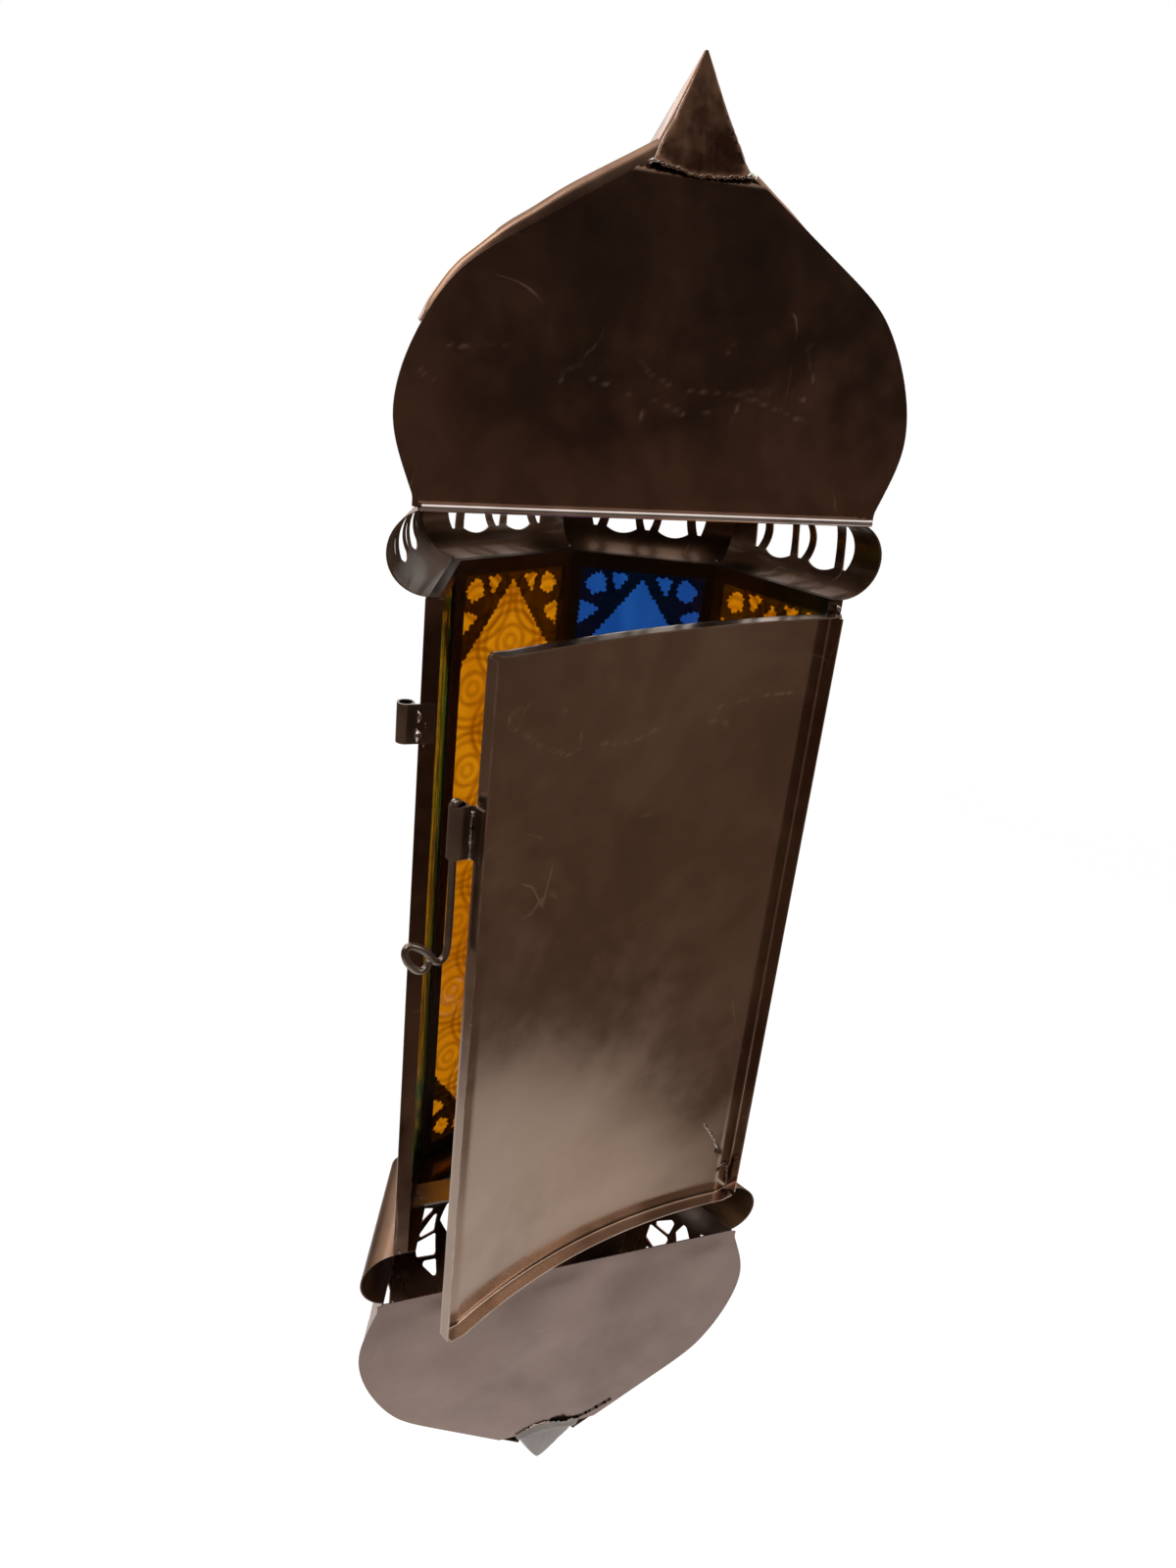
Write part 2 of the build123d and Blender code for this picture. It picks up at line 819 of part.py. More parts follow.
parts = {}
upper = Pos(0, 0, dome_base)
gore = dome_gore()
top_bay = cornice(upper_cornice_height) - cornice_openings(upper_cornice_height)
bottom_bay = mirrored(cornice(lower_cornice_height))

parts["dome_back_plate"] = upper * (dome_plate(upper_finial_from) + plate_fold())
parts["top_finial"] = upper * finial(upper_finial_radius, upper_finial_from, upper_finial_height)
lower = Pos(0, 0, lower_dome_base)
parts["bottom_back_plate"] = lower * mirrored(dome_plate(lower_finial_from))
lower_cone = finial(lower_finial_radius, lower_finial_from, lower_finial_height)
parts["bottom_finial"] = lower * mirrored(lower_cone)

for index in range(bays):
    number = index + 1
    parts[f"dome_gore_{number}"] = upper * in_bay(gore, index)
    parts[f"bottom_gore_{number}"] = lower * in_bay(mirrored(gore), index)
    parts[f"top_cornice_{number}"] = in_bay(top_bay, index)
    parts[f"bottom_cornice_{number}"] = Pos(0, 0, body_bottom) * in_bay(bottom_bay, index)
    parts[f"fret_panel_{number}"] = fret_panel(index)

parts["glass_green"] = in_bay(pane(), 0)
parts["glass_amber_inner"] = in_bay(pane(), 1)
parts["glass_blue"] = in_bay(pane(), 2)
parts["glass_amber_outer"] = in_bay(pane(), 3)

for index in range(bays - 1):
    parts[f"corner_strip_{index + 1}"] = corner_strip(index)

parts["upper_rim"] = mirrored(rim(upper_lip_depth))
parts["lower_rim"] = Pos(0, 0, body_bottom) * rim(lower_lip_depth) - rivet_holes()
parts["latch_jamb"] = jamb()
parts["hinge_jamb"] = mirror(jamb(), about=Plane.YZ)
parts["latch_keeper"] = keeper()
parts["frame_knuckles"] = [frame_knuckle(low, high) for low, high in frame_spans]
parts["hinge_pin"] = hinge_pin()

parts["lamp_strap"] = lamp_strap()
parts["strap_rivets"] = strap_rivets()
parts["lamp_nipple"] = nipple()
parts["nipple_nut_upper"] = nut(strap_top)
parts["nipple_nut_lower"] = nut(strap_bottom - nut_height)
parts["holder_base"] = holder_base()
parts["holder_sleeve"] = holder_sleeve()
parts["holder_shell"] = holder_shell()
parts["holder_contact"] = centre_contact()
parts["bulb_cap"] = bulb_cap()
parts["bulb_glass"] = bulb_glass()

parts["door_panel"] = open_door(door_panel())
parts["door_knuckles"] = [open_door(door_knuckle(low, high)) for low, high in door_spans]
parts["latch_sleeve"] = open_door(latch_sleeve())
parts["latch_bolt"] = open_door(latch_bolt())

os.makedirs("parts", exist_ok=True)
to_origin = Pos(0, -wall_y, -origin_z)
for name, shape in parts.items():
    solids = shape if isinstance(shape, list) else [shape]
    placed = [solid for piece in solids for solid in (to_origin * piece).solids()]
    whole = placed[0] if len(placed) == 1 else Compound(children=placed)
    export_step(whole, f"parts/{name}.step")
    print(name, len(placed), round(sum(solid.volume for solid in placed), 1))
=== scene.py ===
"""Dresses a half-octagon wall lantern of patinated sheet metal and coloured glass.

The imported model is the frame, in metres. What hand work shapes, such as the sawn fretwork,
the rolled glass, the folded door and the solder, is built here around it. Working lengths
are in millimetres from the body's top edge in the back plane, as its maker would measure
them, and row() turns them into the frame's metres.
"""

import logging
import math
import random
from dataclasses import dataclass, field
from enum import Enum
from typing import Callable, Sequence

import bpy
from mathutils import Matrix, Vector, noise

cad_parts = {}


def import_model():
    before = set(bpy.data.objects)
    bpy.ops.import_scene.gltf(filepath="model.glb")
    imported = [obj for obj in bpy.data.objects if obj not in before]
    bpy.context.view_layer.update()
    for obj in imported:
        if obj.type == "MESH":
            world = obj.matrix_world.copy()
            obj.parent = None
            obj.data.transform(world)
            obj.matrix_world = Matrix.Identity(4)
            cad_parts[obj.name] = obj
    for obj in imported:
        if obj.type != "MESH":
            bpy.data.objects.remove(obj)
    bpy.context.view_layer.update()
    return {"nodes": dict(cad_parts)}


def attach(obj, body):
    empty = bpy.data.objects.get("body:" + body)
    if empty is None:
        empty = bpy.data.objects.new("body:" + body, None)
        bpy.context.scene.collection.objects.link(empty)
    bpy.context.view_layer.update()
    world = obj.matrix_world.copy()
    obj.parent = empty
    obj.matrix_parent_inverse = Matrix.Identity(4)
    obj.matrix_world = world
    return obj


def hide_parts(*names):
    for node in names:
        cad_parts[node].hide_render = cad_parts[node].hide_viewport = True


LOG = logging.getLogger("lantern")

Colour = tuple[float, float, float]
Flat = tuple[float, float]

MM = 0.001
WALL_Y = 0.8
ORIGIN_Z = 73.0
BODY_RADIUS = 100.0
BODY_HEIGHT = 351.0
CORNICE_TOP = 35.0
CORNICE_DROP = 32.0
BAY_ANGLE = math.radians(45.0)
HALF_BAY = BAY_ANGLE / 2
APOTHEM = BODY_RADIUS * math.cos(HALF_BAY)
SHEET = 0.8
HINGE_X = -96.5
HINGE_Y = 2.7
DOOR_OPEN = math.radians(17.0)


class Body(Enum):
    """The bodies of the frame that pieces ride on."""

    LANTERN = "lantern"
    DOOR = "door"
    BOLT = "bolt"


class Effect(Enum):
    """The surface effects that more than one finish uses."""

    CLOUDS = "patina_clouds"
    SCRATCHES = "fine_scratches"
    WORN_EDGES = "worn_edges"
    HAND_WAVES = "hand_waves"
    STREAKS = "glass_streaks"


def row(x: float, y: float, z: float) -> Vector:
    """Turn working millimetres into the frame's metres."""
    return Vector((x, y - WALL_Y, z - ORIGIN_Z)) * MM


def door_row(x: float, y: float, z: float) -> Vector:
    """Turn working millimetres on the closed door into metres on the open one."""
    dx = x - HINGE_X
    dy = y - HINGE_Y
    cosine = math.cos(DOOR_OPEN)
    sine = math.sin(DOOR_OPEN)
    return row(HINGE_X + cosine * dx - sine * dy, HINGE_Y + sine * dx + cosine * dy, z)


def bay_row(bay: int, n: float, u: float, z: float) -> Vector:
    """Turn a place in a bay, outwards, along and up, into metres."""
    turn = -HALF_BAY - BAY_ANGLE * bay
    return row(math.cos(turn) * n - math.sin(turn) * u, math.sin(turn) * n + math.cos(turn) * u, z)


def shade(red: int, green: int, blue: int) -> Colour:
    """Turn a screen colour, 0 to 255, into linear light."""

    def channel(value: int) -> float:
        """Turn one channel into linear light."""
        part = value / 255
        return part / 12.92 if part <= 0.04045 else ((part + 0.055) / 1.055) ** 2.4

    return channel(red), channel(green), channel(blue)


def smooth(low: float, high: float, value: float) -> float:
    """Rise smoothly from 0 at low to 1 at high."""
    part = min(max((value - low) / (high - low), 0.0), 1.0)
    return part * part * (3 - 2 * part)


def unevenness(across: float, up: float, wide: float, tall: float, seed: float) -> float:
    """Give a smooth random height, -1 to 1, in patches of a width and a height."""
    return noise.noise(Vector((across / wide, up / tall, seed)))


# Meshes


def mesh_object(
    name: str,
    points: Sequence[Vector],
    faces: Sequence[Sequence[int]],
    smooth_shaded: bool = True,
) -> bpy.types.Object:
    """Make a mesh object.

    Args:
        name: The object's name.
        points: Its corners, in metres.
        faces: Its faces, as indices of corners.
        smooth_shaded: Whether light runs smoothly over its faces.

    Returns:
        The object, linked to the scene.
    """
    mesh = bpy.data.meshes.new(name)
    mesh.from_pydata([tuple(point) for point in points], [], faces)
    mesh.validate()
    mesh.polygons.foreach_set("use_smooth", [smooth_shaded] * len(mesh.polygons))
    mesh.update()
    piece = bpy.data.objects.new(name, mesh)
    bpy.context.scene.collection.objects.link(piece)
    return piece


def apply_modifiers(piece: bpy.types.Object) -> None:
    """Write a piece's modifiers into its mesh."""
    graph = bpy.context.evaluated_depsgraph_get()
    made = bpy.data.meshes.new_from_object(piece.evaluated_get(graph))
    piece.modifiers.clear()
    piece.data = made


def thicken(piece: bpy.types.Object, thickness: float) -> None:
    """Give a surface the sheet's thickness, half to each side.

    Args:
        piece: A mesh of one layer.
        thickness: In metres.
    """
    skin = piece.modifiers.new("skin", "SOLIDIFY")
    skin.thickness = thickness
    skin.offset = 0.0
    skin.use_even_offset = True
    apply_modifiers(piece)


def shade_by_angle(piece: bpy.types.Object, degrees: float) -> None:
    """Shade smoothly, except across edges sharper than an angle."""
    piece.data.set_sharp_from_angle(angle=math.radians(degrees))


def grid_faces(rows: int, columns: int, skip: Callable[[int, int], bool] | None = None) -> list:
    """Number the faces of a grid of points.

    Args:
        rows: How many rows of points.
        columns: How many points in each row.
        skip: Says which cells to leave open.

    Returns:
        The faces, as indices of points.
    """
    faces = []
    for low in range(rows - 1):
        for left in range(columns - 1):
            if skip and skip(low, left):
                continue
            first = low * columns + left
            faces.append((first, first + 1, first + columns + 1, first + columns))
    return faces


def steps(start: float, end: float, pitch: float) -> list[float]:
    """Divide a length into equal steps near a pitch."""
    count = max(1, round(abs(end - start) / pitch))
    return [start + (end - start) * index / count for index in range(count + 1)]


def through(points: Sequence[Vector], pitch: float) -> list[Vector]:
    """Run a smooth line through points.

    Args:
        points: The points to pass.
        pitch: The distance between the points returned.

    Returns:
        Points along the line.
    """
    count = len(points)
    line: list[Vector] = []
    for index in range(count - 1):
        b, c = points[index], points[index + 1]
        a = points[index - 1] if index else b
        d = points[index + 2] if index + 2 < count else c
        parts = max(1, round((c - b).length / pitch))
        for part in range(parts):
            t = part / parts
            line.append(
                (
                    b * 2
                    + (c - a) * t
                    + (a * 2 - b * 5 + c * 4 - d) * t * t
                    + (b * 3 - a - c * 3 + d) * t * t * t
                )
                / 2
            )
    line.append(points[-1].copy())
    return line


def swept(
    name: str, line: Sequence[Vector], radii: Sequence[float], sides: int
) -> bpy.types.Object:
    """Sweep a round section of changing size along a line.

    Args:
        name: The object's name.
        line: The line, in metres.
        radii: The section's radius at each point of the line.
        sides: Corners of the section.

    Returns:
        A closed mesh.
    """
    count = len(line)
    points: list[Vector] = []
    across = None
    for index, centre in enumerate(line):
        after = line[min(index + 1, count - 1)]
        before = line[max(index - 1, 0)]
        along = (after - before).normalized()
        if across is None:
            across = along.orthogonal().normalized()
        across = (across - along * across.dot(along)).normalized()
        other = along.cross(across)
        for side in range(sides):
            angle = 2 * math.pi * side / sides
            spoke = across * math.cos(angle) + other * math.sin(angle)
            points.append(centre + spoke * radii[index])
    faces: list[tuple[int, ...]] = []
    for low in range(0, (count - 1) * sides, sides):
        high = low + sides
        for side in range(sides):
            turn = (side + 1) % sides
            faces.append((low + side, low + turn, high + turn, high + side))
    faces.append(tuple(reversed(range(sides))))
    faces.append(tuple(range((count - 1) * sides, count * sides)))
    return mesh_object(name, points, faces)


# Shader wiring


class Graph:
    """Wires the nodes of one shader tree."""

    def __init__(self, tree: bpy.types.NodeTree) -> None:
        """Keep the tree to wire."""
        self.tree = tree

    def add(self, kind: str, **settings: object) -> bpy.types.Node:
        """Add a node and set its options."""
        node = self.tree.nodes.new(kind)
        for key, value in settings.items():
            setattr(node, key, value)
        return node

    def put(self, target: bpy.types.NodeSocket, value: object) -> None:
        """Feed a socket from another socket, or set its constant."""
        if isinstance(value, bpy.types.NodeSocket):
            self.tree.links.new(value, target)
        else:
            target.default_value = value

    def number(self, operation: str, *values: object) -> bpy.types.NodeSocket:
        """Work out a number from others."""
        node = self.add("ShaderNodeMath", operation=operation)
        for socket, value in zip(node.inputs, values):
            self.put(socket, value)
        return node.outputs[0]

    def span(
        self, value: object, low: object, high: object, to_low: object = 0.0, to_high: object = 1.0
    ) -> bpy.types.NodeSocket:
        """Carry a number smoothly from one span to another."""
        node = self.add("ShaderNodeMapRange", interpolation_type="SMOOTHSTEP")
        for socket, item in zip(node.inputs, (value, low, high, to_low, to_high)):
            self.put(socket, item)
        return node.outputs[0]

    def raise_by(self, shader: bpy.types.Node, height: object, depth: float) -> None:
        """Make a shader's surface follow a height, as deep as a length in metres."""
        bump = self.add("ShaderNodeBump")
        bump.inputs["Distance"].default_value = depth
        self.put(bump.inputs["Height"], height)
        self.put(shader.inputs["Normal"], bump.outputs["Normal"])

    def mix(self, factor: object, first: object, second: object) -> bpy.types.NodeSocket:
        """Mix two shaders."""
        node = self.add("ShaderNodeMixShader")
        for socket, value in zip(node.inputs, (factor, first, second)):
            self.put(socket, value)
        return node.outputs[0]

    def blend(self, factor: object, first: object, second: object) -> bpy.types.NodeSocket:
        """Blend two colours."""
        node = self.add("ShaderNodeMix", data_type="RGBA")
        self.put(node.inputs[0], factor)
        for socket, value in ((node.inputs[6], first), (node.inputs[7], second)):
            self.put(socket, (*value, 1.0) if isinstance(value, tuple) else value)
        return node.outputs[2]

    def place(self, stretch: Colour = (1.0, 1.0, 1.0)) -> bpy.types.NodeSocket:
        """Give the place on the object, stretched along its axes."""
        node = self.add("ShaderNodeTexCoord")
        if stretch == (1.0, 1.0, 1.0):
            return node.outputs["Object"]
        mapping = self.add("ShaderNodeMapping")
        mapping.inputs["Scale"].default_value = stretch
        self.put(mapping.inputs["Vector"], node.outputs["Object"])
        return mapping.outputs[0]

    def cloud(
        self,
        place: bpy.types.NodeSocket,
        scale: object,
        detail: float = 4.0,
        distortion: float = 0.0,
    ) -> bpy.types.NodeSocket:
        """Give soft random patches."""
        node = self.add("ShaderNodeTexNoise")
        self.put(node.inputs["Vector"], place)
        self.put(node.inputs["Scale"], scale)
        node.inputs["Detail"].default_value = detail
        node.inputs["Distortion"].default_value = distortion
        return node.outputs["Fac"]

    def vector(self, operation: str, *values: object) -> bpy.types.NodeSocket:
        """Work out a vector, or its length, from others."""
        node = self.add("ShaderNodeVectorMath", operation=operation)
        for socket, value in zip(node.inputs, values):
            self.put(socket, value)
        return node.outputs["Value" if operation in ("LENGTH", "DOT_PRODUCT") else "Vector"]

    def mirror_rays(self, paths: bpy.types.Node) -> bpy.types.NodeSocket:
        """Pick the rays that a glossy surface throws back, and not those that pass through glass."""
        through_glass = self.number("SUBTRACT", 1.0, paths.outputs["Is Transmission Ray"])
        return self.number("MULTIPLY", paths.outputs["Is Glossy Ray"], through_glass)

    def effect(self, effect: Effect, **values: float) -> bpy.types.Node:
        """Place a shared effect with its own values."""
        node = self.add("ShaderNodeGroup", node_tree=effect_tree(effect))
        for name, value in values.items():
            node.inputs[name].default_value = value
        return node


def effect_tree(effect: Effect) -> bpy.types.NodeTree:
    """Find a shared effect's node group, or build it."""
    tree = bpy.data.node_groups.get(effect.value)
    if tree is None:
        tree = bpy.data.node_groups.new(effect.value, "ShaderNodeTree")
        EFFECT_BUILDERS[effect](tree)
    return tree


def group_ends(
    tree: bpy.types.NodeTree, takes: dict[str, float], gives: Sequence[str]
) -> tuple[dict[str, bpy.types.NodeSocket], bpy.types.Node]:
    """Name what a node group takes and gives.

    Args:
        tree: The group's tree.
        takes: The inputs and their first values.
        gives: The outputs.

    Returns:
        The inputs' sockets by name, and the output node.
    """
    for name, value in takes.items():
        socket = tree.interface.new_socket(name=name, in_out="INPUT", socket_type="NodeSocketFloat")
        socket.default_value = value
    for name in gives:
        tree.interface.new_socket(name=name, in_out="OUTPUT", socket_type="NodeSocketFloat")
    start = tree.nodes.new("NodeGroupInput")
    end = tree.nodes.new("NodeGroupOutput")
    return {name: start.outputs[name] for name in takes}, end


def build_clouds(tree: bpy.types.NodeTree) -> None:
    """Mottle a patina in large and small patches."""
    takes, end = group_ends(tree, {"Scale": 20.0, "Contrast": 0.3}, ["Mask"])
    graph = Graph(tree)
    place = graph.place()
    broad = graph.cloud(place, takes["Scale"], 5.0, 0.8)
    small = graph.cloud(place, graph.number("MULTIPLY", takes["Scale"], 6.0), 6.0)
    mixed = graph.number("MULTIPLY_ADD", broad, 0.75, graph.number("MULTIPLY", small, 0.25))
    low = graph.number("SUBTRACT", 0.5, takes["Contrast"])
    high = graph.number("ADD", 0.5, takes["Contrast"])
    graph.put(end.inputs["Mask"], graph.span(mixed, low, high))


def build_scratches(tree: bpy.types.NodeTree) -> None:
    """Scatter short hairline scratches in loose patches."""
    takes, end = group_ends(tree, {"Scale": 30.0, "Amount": 0.5}, ["Mask"])
    graph = Graph(tree)
    marks = []
    for stretch, width in (((1.0, 1.0, 0.35), 0.006), ((0.3, 1.0, 1.0), 0.005)):
        place = graph.place(stretch)
        field_value = graph.cloud(place, takes["Scale"], 1.0, 0.4)
        away = graph.number("ABSOLUTE", graph.number("SUBTRACT", field_value, 0.5))
        line = graph.span(away, 0.0, width, 1.0, 0.0)
        patch = graph.cloud(place, graph.number("MULTIPLY", takes["Scale"], 2.3), 3.0)
        marks.append(graph.number("MULTIPLY", line, graph.span(patch, 0.58, 0.68)))
    both = graph.number("MAXIMUM", *marks)
    graph.put(end.inputs["Mask"], graph.number("MULTIPLY", both, takes["Amount"]))


def build_worn_edges(tree: bpy.types.NodeTree) -> None:
    """Find the edges that handling has rubbed bright."""
    takes, end = group_ends(tree, {"Radius": 0.0006}, ["Mask"])
    graph = Graph(tree)
    bevel = graph.add("ShaderNodeBevel", samples=4)
    graph.put(bevel.inputs["Radius"], takes["Radius"])
    geometry = graph.add("ShaderNodeNewGeometry")
    dot = graph.add("ShaderNodeVectorMath", operation="DOT_PRODUCT")
    graph.put(dot.inputs[0], bevel.outputs["Normal"])
    graph.put(dot.inputs[1], geometry.outputs["Normal"])
    turned = graph.span(dot.outputs["Value"], 0.8, 0.985, 1.0, 0.0)
    patch = graph.span(graph.cloud(graph.place(), 90.0, 5.0), 0.35, 0.6, 0.25, 1.0)
    graph.put(end.inputs["Mask"], graph.number("MULTIPLY", turned, patch))


def build_hand_waves(tree: bpy.types.NodeTree) -> None:
    """Give the shallow waves and grain of hand-worked sheet."""
    takes, end = group_ends(tree, {"Scale": 15.0, "Grain": 0.04}, ["Height"])
    graph = Graph(tree)
    place = graph.place()
    broad = graph.cloud(place, takes["Scale"], 1.5)
    grain = graph.cloud(place, graph.number("MULTIPLY", takes["Scale"], 40.0), 4.0)
    graph.put(end.inputs["Height"], graph.number("MULTIPLY_ADD", grain, takes["Grain"], broad))


def build_streaks(tree: bpy.types.NodeTree) -> None:
    """Draw the upright streaks and seeds of rolled glass."""
    takes, end = group_ends(tree, {"Scale": 60.0, "Sharpness": 0.1}, ["Mask", "Height"])
    graph = Graph(tree)
    place = graph.place((1.0, 1.0, 0.22))
    flow = graph.cloud(place, takes["Scale"], 4.0, 1.4)
    low = graph.number("SUBTRACT", 0.5, takes["Sharpness"])
    high = graph.number("ADD", 0.5, takes["Sharpness"])
    graph.put(end.inputs["Mask"], graph.span(flow, low, high))
    seeds = graph.number("MULTIPLY", takes["Scale"], 1.7)
    graph.put(end.inputs["Height"], graph.cloud(place, seeds, 2.0, 0.6))


EFFECT_BUILDERS: dict[Effect, Callable[[bpy.types.NodeTree], None]] = {
    Effect.CLOUDS: build_clouds,
    Effect.SCRATCHES: build_scratches,
    Effect.WORN_EDGES: build_worn_edges,
    Effect.HAND_WAVES: build_hand_waves,
    Effect.STREAKS: build_streaks,
}


# Finishes


def new_material(name: str) -> tuple[bpy.types.Material, Graph, bpy.types.Node]:
    """Start a material.

    Args:
        name: The material's name.

    Returns:
        The material, its wiring and its Principled BSDF.
    """
    material = bpy.data.materials.new(name)
    material.use_nodes = True
    return material, Graph(material.node_tree), material.node_tree.nodes["Principled BSDF"]


@dataclass(frozen=True)
class SheetFinish:
    """Patinated sheet metal under worn lacquer."""

    name: str
    dark: Colour
    light: Colour
    scratch: Colour = shade(190, 165, 145)
    edge: Colour = shade(170, 150, 135)
    cloud_scale: float = 14.0
    cloud_contrast: float = 0.22
    smooth_low: float = 0.16
    smooth_high: float = 0.3
    scratch_amount: float = 0.5
    scratch_scale: float = 24.0
    edge_radius: float = 0.0005
    edge_amount: float = 0.7
    wave_scale: float = 14.0
    wave_depth: float = 0.0006
    grain: float = 0.02
    coat: float = 0.25

    def build(self) -> bpy.types.Material:
        """Build the material."""
        material, graph, shader = new_material(self.name)
        clouds = graph.effect(Effect.CLOUDS, Scale=self.cloud_scale, Contrast=self.cloud_contrast)
        scratches = graph.effect(Effect.SCRATCHES, Scale=self.scratch_scale, Amount=self.scratch_amount)
        edges = graph.effect(Effect.WORN_EDGES, Radius=self.edge_radius)
        waves = graph.effect(Effect.HAND_WAVES, Scale=self.wave_scale, Grain=self.grain)
        scuff = graph.add("ShaderNodeAttribute", attribute_name="scuff").outputs["Fac"]
        marks = graph.number("MAXIMUM", scratches.outputs["Mask"], scuff)
        worn = graph.number("MULTIPLY", edges.outputs["Mask"], self.edge_amount)
        base = graph.blend(clouds.outputs["Mask"], self.dark, self.light)
        base = graph.blend(marks, base, self.scratch)
        graph.put(shader.inputs["Base Color"], graph.blend(worn, base, self.edge))
        rough = graph.span(clouds.outputs["Mask"], 0.0, 1.0, self.smooth_low, self.smooth_high)
        graph.put(shader.inputs["Roughness"], graph.number("MULTIPLY_ADD", marks, 0.3, rough))
        shader.inputs["Metallic"].default_value = 1.0
        shader.inputs["Coat Weight"].default_value = self.coat
        shader.inputs["Coat Roughness"].default_value = 0.12
        graph.raise_by(shader, waves.outputs["Height"], self.wave_depth)
        return material


@dataclass(frozen=True)
class GlassFinish:
    """Coloured rolled glass."""

    name: str
    deep: Colour
    bright: Colour
    streak_scale: float = 60.0
    sharpness: float = 0.1
    rough: float = 0.08
    ripple: float = 0.0004
    clarity: float = 0.9
    groove: Colour = shade(240, 240, 236)

    def build(self) -> bpy.types.Material:
        """Build the material."""
        material, graph, shader = new_material(self.name)
        streaks = graph.effect(Effect.STREAKS, Scale=self.streak_scale, Sharpness=self.sharpness)
        melt = graph.blend(streaks.outputs["Mask"], self.deep, self.bright)
        relief = graph.add("ShaderNodeAttribute", attribute_name="relief").outputs["Fac"]
        graph.put(shader.inputs["Base Color"], graph.blend(relief, melt, self.groove))
        shader.inputs["Roughness"].default_value = self.rough
        shader.inputs["IOR"].default_value = 1.5
        shader.inputs["Transmission Weight"].default_value = self.clarity
        graph.raise_by(shader, streaks.outputs["Height"], self.ripple)
        return material


@dataclass(frozen=True)
class MouldedFinish:
    """Moulded plastic with a fine grain."""

    name: str
    colour: Colour
    dust: Colour = shade(120, 112, 104)
    rough: float = 0.35

    def build(self) -> bpy.types.Material:
        """Build the material."""
        material, graph, shader = new_material(self.name)
        clouds = graph.effect(Effect.CLOUDS, Scale=60.0, Contrast=0.2)
        waves = graph.effect(Effect.HAND_WAVES, Scale=50.0, Grain=0.5)
        dusty = graph.number("MULTIPLY", clouds.outputs["Mask"], 0.12)
        graph.put(shader.inputs["Base Color"], graph.blend(dusty, self.colour, self.dust))
        shader.inputs["Roughness"].default_value = self.rough
        graph.raise_by(shader, waves.outputs["Height"], 0.0001)
        return material


